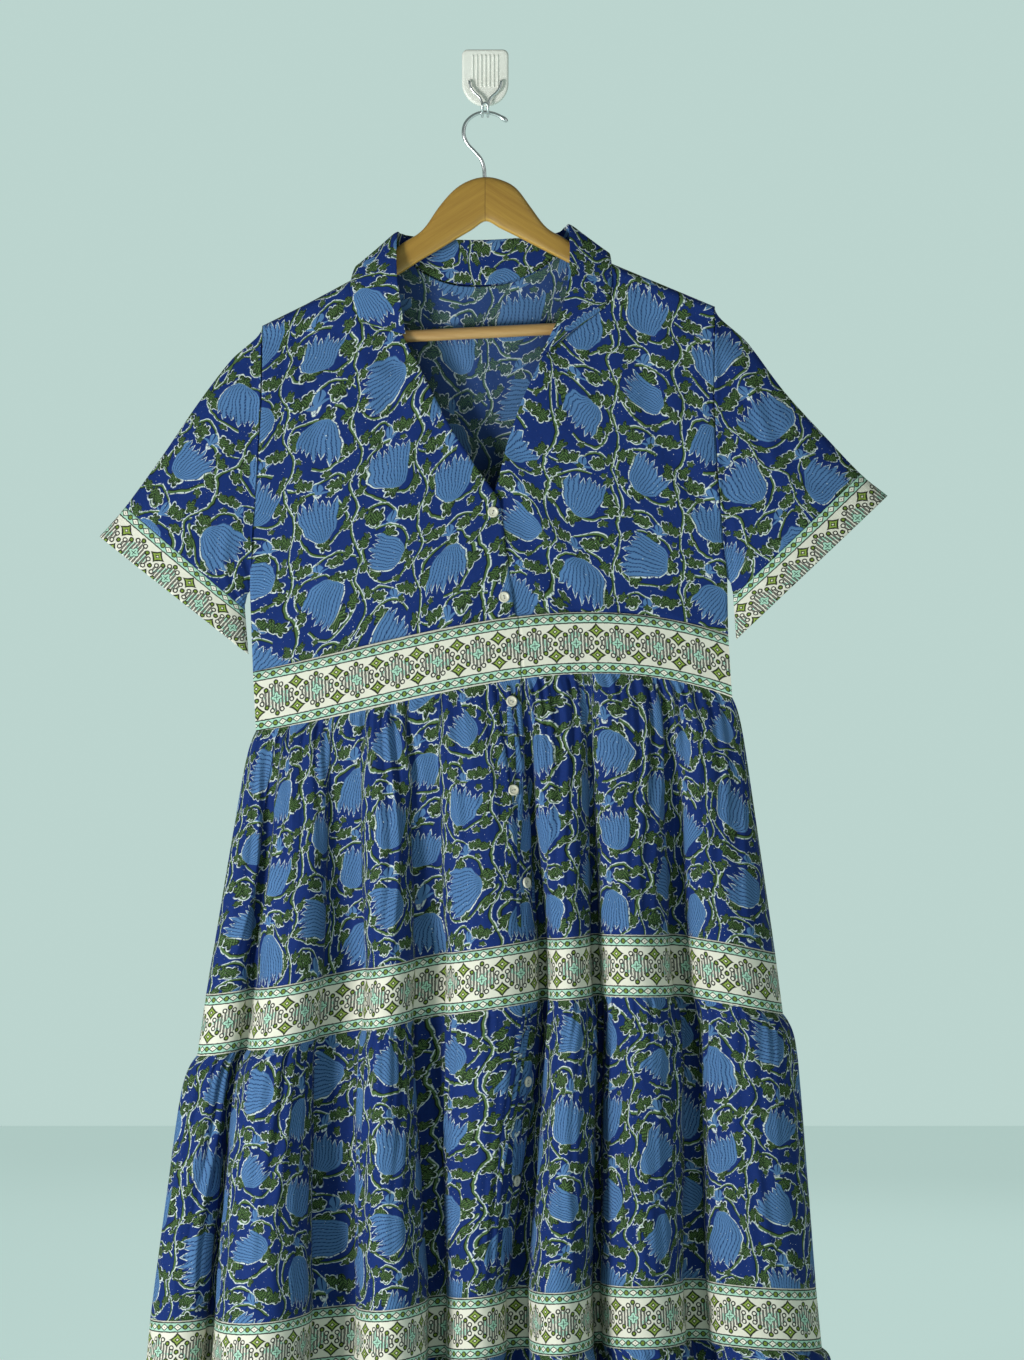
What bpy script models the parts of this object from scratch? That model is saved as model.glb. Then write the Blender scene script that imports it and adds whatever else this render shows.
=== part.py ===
"""Tiered midi dress hanging on a wooden hanger and an adhesive wall hook.

Metres, +Z up. The wall is the plane y = 0 and the dress hangs before it, towards -Y, so its front
faces -Y. The origin is the middle of the hook plate's back face. Left and right are the viewer's.
Every cloth piece is a wall: an outer grid of points, and the same grid moved in by the cloth's
thickness. Neighbouring pieces share one surface formula and stop a small gap apart at the seam.
"""
import math

import bmesh
import bpy
import numpy as np

for old in list(bpy.data.objects):
    bpy.data.objects.remove(old, do_unlink=True)

GAP = 0.0003  # between pieces at a seam
WALL = 0.0014  # cloth with its seam allowances
MIDDLE_Y = -0.035  # plane of the hanger and of the side seams
BUTTON_RADIUS, BUTTON_THICK, BUTTON_INSET = 0.0055, 0.0024, 0.0085
TIER_INSET = 0.0135  # further from the edge on the tiers, where the front edge turns in


def table(columns, *rows):
    """Named columns as arrays, from one tuple for each row."""
    return dict(zip(columns.split(), np.array(rows, float).T))


def smooth(x, places, values):
    """A smooth curve through the given values: cubic between places, with slopes from the neighbours."""
    places, values = np.asarray(places, float), np.asarray(values, float)
    slopes = np.gradient(values, places)
    i = np.clip(np.searchsorted(places, x) - 1, 0, len(places) - 2)
    width = places[i + 1] - places[i]
    t = np.clip((x - places[i]) / width, 0, 1)
    ease = t * t * (3 - 2 * t)
    bend = t * (1 - t) * ((1 - t) * slopes[i] - t * slopes[i + 1]) * width
    return values[i] * (1 - ease) + values[i + 1] * ease + bend


def material(name, colour, roughness=0.9, metallic=0.0):
    found = bpy.data.materials.new(name)
    found.use_nodes = True
    shader = found.node_tree.nodes["Principled BSDF"]
    shader.inputs["Base Color"].default_value = (*colour, 1)
    shader.inputs["Roughness"].default_value = roughness
    shader.inputs["Metallic"].default_value = metallic
    return found


PRINT = material("blue_floral_print", (0.02, 0.05, 0.27))
BORDER = material("cream_border_print", (0.75, 0.72, 0.6))
WOOD = material("honey_wood", (0.5, 0.26, 0.07), 0.45)
STEEL = material("bright_steel", (0.8, 0.8, 0.8), 0.2, 1.0)
PLASTIC = material("cream_plastic", (0.85, 0.85, 0.8), 0.4)
BONE = material("bone_button", (0.8, 0.76, 0.64), 0.4)


def add_mesh(name, points, faces, look):
    """A closed mesh object with its faces turned outwards."""
    mesh = bpy.data.meshes.new(name)
    mesh.from_pydata([tuple(p) for p in points], [], [tuple(f) for f in faces])
    shape = bmesh.new()
    shape.from_mesh(mesh)
    bmesh.ops.recalc_face_normals(shape, faces=shape.faces)
    shape.to_mesh(mesh)
    shape.free()
    mesh.shade_smooth()
    mesh.set_sharp_from_angle(angle=math.radians(50))
    mesh.materials.append(look)
    obj = bpy.data.objects.new(name, mesh)
    bpy.context.collection.objects.link(obj)
    return obj


def add_wall(name, outer, inner, look, ring=False):
    """A cloth wall between two grids of rows x columns x 3. A ring's last column meets its first."""
    rows, columns = outer.shape[:2]
    count = rows * columns
    steps = columns if ring else columns - 1
    faces = []
    for r in range(rows - 1):
        for c in range(steps):
            a, b = r * columns + c, r * columns + (c + 1) % columns
            for one, two, three in ((a, b, b + columns), (a, b + columns, a + columns)):
                faces.append((one, two, three))
                faces.append((three + count, two + count, one + count))
    for c in range(steps):
        for r in (0, rows - 1):
            a, b = r * columns + c, r * columns + (c + 1) % columns
            faces.append((a, b, b + count, a + count))
    if not ring:
        for r in range(rows - 1):
            for c in (0, columns - 1):
                a, b = r * columns + c, (r + 1) * columns + c
                faces.append((a, b, b + count, a + count))
    return add_mesh(name, np.concatenate([outer.reshape(-1, 3), inner.reshape(-1, 3)]), faces, look)


def curve_through(points, count):
    """Evenly many points on a smooth curve through a route's own points."""
    points = np.array(points, float)
    lengths = np.concatenate([[0], np.cumsum(np.linalg.norm(np.diff(points, axis=0), axis=1))])
    places = np.linspace(0, lengths[-1], count)
    return np.stack([smooth(places, lengths, axis) for axis in points.T], axis=1)


def add_tube(name, path, radius, sides, look):
    """A bent rod: a ring of points round each point of the path, with flat caps."""
    path = np.asarray(path, float)
    radius = np.broadcast_to(radius, len(path))
    ahead = np.gradient(path, axis=0)
    ahead /= np.linalg.norm(ahead, axis=1)[:, None]
    side = np.cross(ahead[0], (0.0, 1.0, 0.0) if abs(ahead[0][1]) < 0.9 else (1.0, 0.0, 0.0))
    rings = []
    for point, way, size in zip(path, ahead, radius):
        side = side - way * side.dot(way)
        side /= np.linalg.norm(side)
        turn = 2 * math.pi * np.arange(sides) / sides
        up = np.cross(way, side)
        rings.append(point + size * (np.cos(turn)[:, None] * side + np.sin(turn)[:, None] * up))
    points = np.concatenate(rings)
    faces = [tuple(range(sides)), tuple(range(len(points) - sides, len(points)))]
    for r in range(len(path) - 1):
        for c in range(sides):
            a, b = r * sides + c, r * sides + (c + 1) % sides
            faces.append((a, b, b + sides, a + sides))
    return add_mesh(name, points, faces, look)


# Skirt. A row for each level across the dress: side outlines, height of the seam at the stations
# below, how far the front and the back bow out, and how fast the sides puff out under the seam.
STATIONS = (-1.0, -0.5, 0.0, 0.35, 0.65, 1.0)
LEVELS = table(
    "left right z0 z1 z2 z3 z4 z5 front back puff",
    (-0.233, 0.244, -0.600, -0.571, -0.551, -0.537, -0.545, -0.562, 0.018, 0.016, 0.000),
    (-0.230, 0.248, -0.660, -0.634, -0.614, -0.600, -0.604, -0.626, 0.018, 0.016, 0.006),
    (-0.280, 0.291, -0.922, -0.902, -0.869, -0.862, -0.865, -0.880, 0.020, 0.014, 0.000),
    (-0.289, 0.299, -0.984, -0.964, -0.931, -0.924, -0.927, -0.942, 0.020, 0.014, 0.012),
    (-0.336, 0.332, -1.248, -1.236, -1.220, -1.208, -1.208, -1.216, 0.021, 0.012, 0.000),
    (-0.342, 0.338, -1.310, -1.298, -1.282, -1.270, -1.270, -1.278, 0.021, 0.012, 0.010),
    (-0.362, 0.352, -1.405, -1.395, -1.382, -1.372, -1.372, -1.380, 0.021, 0.012, 0.000),
)
LEVEL_NUMBERS = np.arange(7.0)
SEAM_HEIGHTS = np.stack([LEVELS[f"z{i}"] for i in range(len(STATIONS))], axis=1)
SEAM_CURVES = [np.polyfit(STATIONS, heights, 3) for heights in SEAM_HEIGHTS]

# Front folds from the left side seam to the right one: right edge as a share of the half width at
# the waist, at band 2 and at the hem, depth at band 2 and at the hem, and columns of the grid.
# A row with a minus sign is a valley between two pipes. Pipe 7 (row 6) ends at the front edge.
FRONT_FOLDS = table(
    "waist band2 hem depth2 depth_hem columns",
    (-0.895, -0.853, -0.827, 0.020, 0.030, 4),
    (-0.862, -0.825, -0.803, -0.004, -0.010, 2),
    (-0.665, -0.584, -0.510, 0.045, 0.085, 6),
    (-0.540, -0.437, -0.381, -0.005, -0.006, 2),
    (-0.351, -0.262, -0.163, 0.042, 0.082, 6),
    (-0.226, -0.154, -0.109, -0.004, -0.005, 2),
    (0.113, 0.168, 0.070, 0.045, 0.050, 8),
    (0.130, 0.196, 0.136, -0.003, -0.008, 2),
    (0.372, 0.350, 0.327, 0.045, 0.078, 6),
    (0.397, 0.378, 0.351, -0.003, -0.006, 2),
    (0.682, 0.626, 0.599, 0.045, 0.062, 8),
    (0.736, 0.690, 0.668, -0.006, -0.008, 2),
    (1.000, 1.000, 1.000, 0.040, 0.055, 8),
)
FRONT_EDGE = 7.0  # fold number at which the left front ends, on top of the right one
LAP_COLUMNS = 3  # columns of pipe 7 that the right front runs under the left one

# Back folds, shallower, against the wall.
BACK_FOLDS = table(
    "waist band2 hem depth2 depth_hem columns",
    (-0.640, -0.620, -0.640, 0.014, 0.016, 6),
    (-0.560, -0.540, -0.560, -0.003, -0.004, 2),
    (-0.150, -0.180, -0.120, 0.012, 0.015, 6),
    (-0.070, -0.100, -0.040, -0.003, -0.004, 2),
    (0.330, 0.300, 0.360, 0.013, 0.015, 6),
    (0.400, 0.370, 0.440, -0.003, -0.004, 2),
    (1.000, 1.000, 1.000, 0.014, 0.016, 8),
)
GATHER = 0.0021  # half height of a gather under a seam
GATHER_FADE = 0.05  # length in which the gathers die out


def level_value(name, v):
    return np.interp(v, LEVEL_NUMBERS, LEVELS[name])


def tier_share(v):
    """How far down its own strip a level lies, 0 at the upper seam and 1 at the lower one."""
    return v - np.floor(np.minimum(v, 5.999))


def puff(v):
    """The swell under a gathered seam: fast out, then slowly back to nothing at the next seam."""
    share = tier_share(v)
    size = LEVELS["puff"][np.floor(np.minimum(v, 5.999)).astype(int)]
    return size * (1 - np.exp(-share / 0.06)) * (1 - share)


def fold_value(folds, s, v, kind):
    """Left and right edge share, or depth, of the fold that s is in."""
    i = np.clip(np.floor(s).astype(int), 0, len(folds["waist"]) - 1)
    if kind == "depth":
        two, hem = folds["depth2"][i], folds["depth_hem"][i]
        growth = [0 * two, 0 * two, two, two, 0.92 * hem, 0.94 * hem, hem]
        return level_mix(growth, v)
    edges = {name: np.concatenate([[-1.0], folds[name]]) for name in ("waist", "band2", "hem")}
    sides = []
    for j in (i, i + 1):
        stops = [edges[name][j] for name in ("waist", "waist", "band2", "band2", "hem", "hem", "hem")]
        sides.append(level_mix(stops, v))
    return sides


def level_mix(stops, v):
    """Straight mix between the values at the two levels that v lies between."""
    k = np.clip(np.floor(v).astype(int), 0, 5)
    share = v - k
    stops = np.stack(np.broadcast_arrays(*stops))
    low = np.take_along_axis(stops, k[None], 0)[0]
    high = np.take_along_axis(stops, k[None] + 1, 0)[0]
    return low * (1 - share) + high * share


def skirt_surface(folds, s, v, front):
    """Points of the skirt: each fold is half an ellipse in plan, on a bowed sheet between side seams."""
    i = np.clip(np.floor(s), 0, len(folds["waist"]) - 1)
    turn = math.pi * (s - i)
    low, high = fold_value(folds, s, v, "edges")
    across = low + (high - low) * (1 - np.cos(turn)) / 2
    swell = puff(v)
    left, right = level_value("left", v) - swell, level_value("right", v) + swell
    x = (left + right) / 2 + across * (right - left) / 2
    roundness = np.interp(v, [0, 1, 1.5, 6], [1.0, 1.0, 0.5, 0.5])
    room = np.clip(1 - across**2, 0, 1)
    edge = np.interp(v, [0, 1, 1.08, 6], [WALL + GAP / 2, WALL + GAP / 2, GAP / 2, GAP / 2])
    bow = level_value("front" if front else "back", v)
    out = edge + bow * room**roundness + 0.4 * swell * np.sqrt(room)
    out = out + fold_value(folds, s, v, "depth") * np.sin(turn)
    k = np.clip(np.floor(v).astype(int), 0, 5)
    upper = np.stack([np.polyval(curve, across) for curve in SEAM_CURVES])
    z_high = np.take_along_axis(upper, k[None], 0)[0]
    z_low = np.take_along_axis(upper, k[None] + 1, 0)[0]
    z = z_high + (z_low - z_high) * (v - k)
    return np.stack([x, MIDDLE_Y - out if front else MIDDLE_Y + out, z], axis=-1)


def skirt_normal(folds, s, v, front):
    """Unit vectors out of the cloth, from the surface's slope along s and along v."""
    step = 0.004
    last = float(len(folds["waist"]))
    s_low, s_high = np.clip(s - step, 0, last), np.clip(s + step, 0, last)
    v_low, v_high = np.clip(v - step, 0, 6), np.clip(v + step, 0, 6)
    along = skirt_surface(folds, s_high, v, front) - skirt_surface(folds, s_low, v, front)
    down = skirt_surface(folds, s, v_high, front) - skirt_surface(folds, s, v_low, front)
    out = np.cross(down, along) if front else np.cross(along, down)
    return out / np.linalg.norm(out, axis=-1)[..., None]


def gather_wave(folds, s):
    """A wave with a crest at every second column of the grid."""
    columns = np.concatenate([[0], np.cumsum(folds["columns"])])
    return np.cos(math.pi * np.interp(s, np.arange(len(columns)), columns))


def gather_rise(folds, s, v, drop, front):
    """How far the gathers push the cloth out, fading with the drop below the seam."""
    fade = np.exp(-drop / GATHER_FADE) * np.minimum(1, 0.3 + drop / 0.012)
    room = np.sqrt(np.clip(1 - skirt_share(folds, s, v) ** 2, 0, 1))
    flat_edge = np.clip(np.abs(s - FRONT_EDGE) / 0.8, 0.1, 1) if front else 1
    return GATHER * fade * room * flat_edge * gather_wave(folds, s)


def skirt_piece(name, folds, s, v, front, look, gathered, lapped=False):
    """One strip of the skirt between two seams, as a wall."""
    s, v = np.meshgrid(s, v)
    points = skirt_surface(folds, s, v, front)
    normal = skirt_normal(folds, s, v, front)
    drop = points[:1, :, 2:] - points[..., 2:]
    rise = gather_rise(folds, s, v, drop[..., 0], front) if gathered else np.zeros(s.shape)
    if lapped:
        rise = rise - (WALL + GAP) * np.clip(1 - (s - FRONT_EDGE), 0, 1)
    points = points + normal * rise[..., None]
    inner = points - normal * WALL
    for row, away in ((0, -GAP / 2), (-1, GAP / 2)):
        for grid in (points, inner):
            grid[row, :, 2] = seam_height(int(round(v[row, 0])), grid[row, :, 0]) + away
    return add_wall(name, points, inner, look)


def seam_height(level, x):
    """Height of the seam at a level, from its place across the dress alone."""
    left, right = LEVELS["left"][level], LEVELS["right"][level]
    share = np.clip((2 * x - left - right) / (right - left), -1, 1)
    return np.polyval(SEAM_CURVES[level], share)


def skirt_share(folds, s, v):
    """Place across the dress, -1 at the left side seam and 1 at the right one."""
    i = np.clip(np.floor(s), 0, len(folds["waist"]) - 1)
    low, high = fold_value(folds, s, v, "edges")
    return low + (high - low) * (1 - np.cos(math.pi * (s - i))) / 2


def fold_columns(folds, first, last):
    """Grid columns from one fold edge to another, as many in each fold as its table row says."""
    stops = [np.array([float(first)])]
    for i in range(first, last):
        count = int(folds["columns"][i])
        stops.append(i + np.arange(1, count + 1) / count)
    return np.concatenate(stops)


# Strips of the skirt from the waist down, each between two levels.
STRIPS = (
    ("waist_band", 0, (0, 1), False),
    ("tier_1", 1, (0, 0.05, 0.13, 0.28, 0.52, 0.76, 1), True),
    ("band_2", 2, (0, 1), False),
    ("tier_2", 3, (0, 0.05, 0.13, 0.28, 0.52, 0.76, 1), True),
    ("band_3", 4, (0, 1), False),
    ("tier_3", 5, (0, 0.13, 0.4, 1), True),
)


def make_skirt():
    for name, level, rows, gathered in STRIPS:
        look = PRINT if gathered else BORDER
        v = level + np.array(rows, float)
        left = fold_columns(FRONT_FOLDS, 0, 7)
        lap = left[-LAP_COLUMNS - 1 : -1]
        right = np.concatenate([lap, fold_columns(FRONT_FOLDS, 7, 13)])
        back = fold_columns(BACK_FOLDS, 0, 7)
        skirt_piece(name + "_front_left", FRONT_FOLDS, left, v, True, look, gathered)
        skirt_piece(name + "_front_right", FRONT_FOLDS, right, v, True, look, gathered, True)
        skirt_piece(name + "_back", BACK_FOLDS, back, v, False, look, gathered)


make_skirt()

# Bodice. Outlines as heights with the place across at each, from the shoulder down to the waist.
SHOULDER_LEFT = table("x z", (-0.223, -0.250), (-0.180, -0.231), (-0.135, -0.207), (-0.092, -0.172))
SHOULDER_RIGHT = table("x z", (0.088, -0.164), (0.127, -0.190), (0.170, -0.208), (0.230, -0.231))
SIDE_LEFT = table(
    "z x",
    (-0.601, -0.2330), (-0.518, -0.2360), (-0.468, -0.2345), (-0.398, -0.2280), (-0.328, -0.2240), (-0.250, -0.2230),
)
SIDE_RIGHT = table(
    "z x",
    (-0.563, 0.2440), (-0.505, 0.2430), (-0.488, 0.2410), (-0.408, 0.2330), (-0.328, 0.2290), (-0.231, 0.2300),
)
EDGE_LEFT = table(
    "z x",
    (-0.560, 0.0330), (-0.528, 0.0280), (-0.428, 0.0150), (-0.393, -0.0100), (-0.353, -0.0350),
    (-0.300, -0.0600), (-0.259, -0.0820), (-0.215, -0.0940), (-0.172, -0.0920),
)
EDGE_RIGHT = table(
    "z x",
    (-0.560, 0.0100), (-0.528, 0.0050), (-0.440, -0.0040), (-0.413, 0.0120), (-0.373, 0.0210),
    (-0.328, 0.0350), (-0.281, 0.0550), (-0.246, 0.0760), (-0.215, 0.0860), (-0.164, 0.0880),
)
NECK_DIP = -0.212  # lowest point of the back neckline
UNDERARM = {"left": -0.518, "right": -0.505}
ARM_ROOM = 0.0115  # half thickness of the dress at the middle of an armhole
ROLL = 0.008  # height in which the cloth rolls over the hanger's arm
HANGER_ROOM, BUST_ROOM = 0.0085, 0.0165  # half thickness below the roll and at the bust
BODICE_ROWS = np.array([0, 0.010, 0.028, 0.065, 0.12, 0.19, 0.27, 0.35, 0.44, 0.54, 0.64, 0.74, 0.87, 1.0])
BODY_MIDDLE, BODY_HALF = 0.005, 0.236


def arm_share(z, side):
    """0 at the shoulder tip, 1 at the underarm, more below it."""
    tip = SHOULDER_LEFT["z"][0] if side == "left" else SHOULDER_RIGHT["z"][-1]
    return (tip - z) / (tip - UNDERARM[side])


def half_thickness(x, z, below):
    """Distance of the cloth's outer face from the hanger's plane, at a depth below the shoulder line."""
    t = np.clip(below / ROLL, 0, 1)
    roll = np.sqrt(t * (2 - t))
    fall = np.clip(below / 0.2, 0, 1)
    middle = HANGER_ROOM + (BUST_ROOM - HANGER_ROOM) * fall * fall * (3 - 2 * fall)
    share = np.clip((x - BODY_MIDDLE) / BODY_HALF, -1, 1)
    arm = np.where(share < 0, arm_share(z, "left"), arm_share(z, "right"))
    tip = np.clip(1 - arm / 0.15, 0, 1)
    arm = np.clip(arm, 0, 1)
    edge = np.maximum(ARM_ROOM * 2 * np.sqrt(arm * (1 - arm)), 0.92 * HANGER_ROOM * tip)
    return WALL + GAP / 2 + roll * (edge + (middle - edge).clip(0) * (1 - share**2))


def bodice_grid(edge_near, edge_far, top_x, top_z, columns):
    """Plan of a bodice panel: straight rows between two side curves, columns from the top line to the waist."""
    u = np.linspace(0, 1, columns)[None, :]
    w = BODICE_ROWS[:, None]
    foot_x = [np.interp(-0.56, edge["z"], edge["x"]) for edge in (edge_near, edge_far)]
    foot_z = seam_height(0, foot_x[0] + (foot_x[1] - foot_x[0]) * u)
    z = top_z[None, :] * (1 - w) + foot_z * w
    near = np.interp(z[:, :1], edge_near["z"], edge_near["x"])
    far = np.interp(z[:, -1:], edge_far["z"], edge_far["x"])
    x = near + (far - near) * u
    lean = (1 - w) ** 6
    return x * (1 - lean) + top_x[None, :] * lean, z


def bodice_panel(name, x, z, top_z, front, lap=0.0):
    """A bodice panel as a wall whose faces are moved straight forwards or back."""
    out = half_thickness(x, z, top_z[None, :] - z) - lap
    way = -1 if front else 1
    outer = np.stack([x, MIDDLE_Y + way * out, z], axis=-1)
    outer[-1, :, 2] = seam_height(0, x[-1]) + GAP / 2
    inner = outer - np.array([0, way * WALL, 0])
    return add_wall(name, outer, inner, PRINT)


def make_bodice():
    u = np.linspace(0, 1, 11)
    top_x = SHOULDER_LEFT["x"][-1] + (SHOULDER_LEFT["x"][0] - SHOULDER_LEFT["x"][-1]) * u
    top_z = np.interp(top_x, SHOULDER_LEFT["x"], SHOULDER_LEFT["z"])
    x, z = bodice_grid(EDGE_LEFT, SIDE_LEFT, top_x, top_z, len(u))
    bodice_panel("bodice_front_left", x, z, top_z, True)
    top_x = SHOULDER_RIGHT["x"][0] + (SHOULDER_RIGHT["x"][-1] - SHOULDER_RIGHT["x"][0]) * u
    top_z = np.interp(top_x, SHOULDER_RIGHT["x"], SHOULDER_RIGHT["z"])
    x, z = bodice_grid(EDGE_RIGHT, SIDE_RIGHT, top_x, top_z, len(u))
    over = np.interp(z, EDGE_LEFT["z"], EDGE_LEFT["x"]) - x
    lap = (WALL + GAP) * np.clip(1.15 + over / 0.03, 0, 1)
    bodice_panel("bodice_front_right", x, z, top_z, True, lap)

    # The back runs from tip to tip, with the back neckline between the two shoulders.
    neck = np.concatenate([[0.01], np.linspace(0, 1, 13)[1:-1], [0.99]])
    left_end, right_end = SHOULDER_LEFT["x"][-1], SHOULDER_RIGHT["x"][0]
    top_x = np.concatenate([
        np.linspace(SHOULDER_LEFT["x"][0], left_end, 6),
        left_end + (right_end - left_end) * neck,
        np.linspace(right_end, SHOULDER_RIGHT["x"][-1], 6),
    ])
    tops = [np.interp(top_x, line["x"], line["z"]) for line in (SHOULDER_LEFT, SHOULDER_RIGHT)]
    share = np.clip((top_x - left_end) / (right_end - left_end), 0, 1)
    line_z = np.where(share <= 0, tops[0], tops[1])
    straight = SHOULDER_LEFT["z"][-1] * (1 - share) + SHOULDER_RIGHT["z"][0] * share
    line_z = np.where((share > 0) & (share < 1), straight, line_z)
    dip = (1 - np.abs(2 * share - 1) ** 2.5) * (straight.mean() - NECK_DIP)
    top_z = line_z - np.where((share > 0) & (share < 1), dip, 0)
    foot = [np.interp(-0.60, SIDE_LEFT["z"], SIDE_LEFT["x"]), np.interp(-0.56, SIDE_RIGHT["z"], SIDE_RIGHT["x"])]
    w = BODICE_ROWS[:, None]
    u = ((top_x - top_x[0]) / (top_x[-1] - top_x[0]))[None, :]
    foot_z = seam_height(0, foot[0] + (foot[1] - foot[0]) * u)
    z = top_z[None, :] * (1 - w) + foot_z * w
    near = np.interp(z[:, :1], SIDE_LEFT["z"], SIDE_LEFT["x"])
    far = np.interp(z[:, -1:], SIDE_RIGHT["z"], SIDE_RIGHT["x"])
    x = near + (far - near) * u
    over_arm = np.where((share > 0) & (share < 1), 2 * ROLL, 0)  # the neck edge stands clear of the arms
    bodice_panel("bodice_back", x, z, line_z + over_arm, False)


make_bodice()

# Sleeves. Stations along each sleeve: the fold on top and the fold at the underarm, and half its
# thickness. The first is the armhole, the last two are the band's seam and the hem.
SLEEVE_LEFT = table(
    "top_x top_z low_x low_z room",
    (-0.2230, -0.250, -0.2360, -0.518, 0.0130), (-0.2560, -0.288, -0.2385, -0.522, 0.0145),
    (-0.2880, -0.330, -0.2395, -0.526, 0.0160), (-0.3240, -0.383, -0.2405, -0.531, 0.0165),
    (-0.3610, -0.434, -0.2410, -0.537, 0.0170), (-0.3870, -0.464, -0.2375, -0.582, 0.0180),
)
SLEEVE_RIGHT = table(
    "top_x top_z low_x low_z room",
    (0.2300, -0.231, 0.2430, -0.505, 0.0130), (0.2640, -0.270, 0.2455, -0.509, 0.0145),
    (0.3000, -0.318, 0.2470, -0.513, 0.0160), (0.3390, -0.361, 0.2480, -0.518, 0.0165),
    (0.3770, -0.401, 0.2490, -0.524, 0.0170), (0.4040, -0.423, 0.2520, -0.567, 0.0180),
)
SLEEVE_COLUMNS = 20
BAND_STATION = 4


def sleeve_surface(stations, side, b, turn):
    """A flattened tube: at each station an ellipse between the top fold and the underarm fold."""
    numbers = np.arange(len(stations["room"]))
    top_x, top_z, low_x, low_z, room = (
        smooth(b, numbers, stations[name]) for name in ("top_x", "top_z", "low_x", "low_z", "room")
    )
    share = (1 - np.cos(turn)) / 2
    x = top_x + (low_x - top_x) * share
    z = top_z + (low_z - top_z) * share
    curve = SIDE_LEFT if side == "left" else SIDE_RIGHT
    bow = np.interp(z, curve["z"], curve["x"]) - x
    x = x + bow * np.clip(1 - b, 0, 1) ** 2
    return np.stack([x, MIDDLE_Y - room * np.sin(turn), z], axis=-1)


def make_sleeve(side, stations, away):
    turns = 2 * math.pi * np.arange(SLEEVE_COLUMNS) / SLEEVE_COLUMNS
    for name, first, last in (("sleeve_", 0, BAND_STATION), ("sleeve_band_", BAND_STATION, BAND_STATION + 1)):
        turn, b = np.meshgrid(turns, np.linspace(first, last, last - first + 1 if first == 0 else 2))
        points = sleeve_surface(stations, side, b, turn)
        along = sleeve_surface(stations, side, np.minimum(b + 0.01, 5), turn)
        along = along - sleeve_surface(stations, side, np.maximum(b - 0.01, 0), turn)
        round_ = sleeve_surface(stations, side, b, turn + 0.01) - sleeve_surface(stations, side, b, turn - 0.01)
        normal = np.cross(along, round_) * away
        if first == 0:
            normal[0, :, 0] = 0
        normal /= np.linalg.norm(normal, axis=-1)[..., None]
        axis = along / np.linalg.norm(along, axis=-1)[..., None]
        gap_axis = axis.copy()
        if first == 0:
            gap_axis[0] = (away, 0, 0)
        points[0] += gap_axis[0] * (1.7 * GAP if first == 0 else GAP / 2)
        if first == 0:
            points[-1] -= gap_axis[-1] * GAP / 2
        add_wall(name + side, points, points - normal * WALL, PRINT if first == 0 else BORDER, ring=True)


make_sleeve("left", SLEEVE_LEFT, -1)
make_sleeve("right", SLEEVE_RIGHT, 1)

# Shirt collar, stand and fall in one. A row for each station from the left front end, round the back
# of the neck, to the right front end: the neck seam, the fold, and the outer edge of the fall.
COLLAR = table(
    "seam_x seam_y seam_z fold_x fold_y fold_z edge_x edge_y edge_z",
    (-0.0812, -0.0492, -0.2600, -0.0795, -0.0540, -0.2615, -0.1240, -0.0470, -0.2500),
    (-0.0870, -0.0478, -0.2370, -0.0840, -0.0545, -0.2330, -0.1310, -0.0470, -0.2330),
    (-0.0925, -0.0470, -0.2100, -0.0880, -0.0550, -0.2040, -0.1350, -0.0465, -0.2120),
    (-0.0905, -0.0400, -0.1690, -0.0880, -0.0430, -0.1630, -0.1290, -0.0390, -0.1920),
    (-0.0895, -0.0280, -0.1700, -0.0840, -0.0270, -0.1600, -0.1200, -0.0230, -0.1980),
    (-0.0770, -0.0262, -0.1840, -0.0755, -0.0245, -0.1620, -0.1060, -0.0210, -0.2080),
    (-0.0470, -0.0252, -0.2045, -0.0470, -0.0225, -0.1650, -0.0600, -0.0200, -0.2190),
    (-0.0020, -0.0252, -0.2105, -0.0020, -0.0220, -0.1660, -0.0020, -0.0195, -0.2210),
    (0.0430, -0.0252, -0.2005, 0.0430, -0.0225, -0.1630, 0.0560, -0.0200, -0.2170),
    (0.0730, -0.0262, -0.1770, 0.0715, -0.0245, -0.1590, 0.1020, -0.0210, -0.2010),
    (0.0855, -0.0280, -0.1620, 0.0800, -0.0270, -0.1530, 0.1160, -0.0230, -0.1860),
    (0.0865, -0.0400, -0.1610, 0.0840, -0.0430, -0.1550, 0.1250, -0.0390, -0.1800),
    (0.0850, -0.0470, -0.2020, 0.0840, -0.0550, -0.1960, 0.1270, -0.0465, -0.2080),
    (0.0780, -0.0478, -0.2380, 0.0770, -0.0545, -0.2360, 0.1210, -0.0475, -0.2320),
    (0.0565, -0.0500, -0.2805, 0.0550, -0.0545, -0.2835, 0.1000, -0.0485, -0.2500),
)
COLLAR_STATIONS = 29
COLLAR_WALL = 0.0011
FOLD_RADIUS = 0.0018


def collar_points(places):
    """Sections of seven points: up the stand, round the fold and down the fall to its edge."""
    rows = np.arange(len(COLLAR["seam_x"]))
    seam, fold, edge = (
        np.stack([smooth(places, rows, COLLAR[f"{part}_{axis}"]) for axis in "xyz"], axis=-1)
        for part in ("seam", "fold", "edge")
    )
    out = (edge - seam) * (1, 1, 0)
    out /= np.linalg.norm(out, axis=-1)[:, None]
    crest = fold - (seam + edge) / 2
    crest /= np.linalg.norm(crest, axis=-1)[:, None]
    start = fold + out * 2 * FOLD_RADIUS
    return np.stack([
        seam,
        (seam + fold) / 2,
        fold + (seam - fold) * 0.1,
        fold + out * FOLD_RADIUS + crest * 0.0012,
        start + (edge - start) * 0.08,
        (start + edge) / 2 + crest * 0.001,
        edge,
    ], axis=1)


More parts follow.
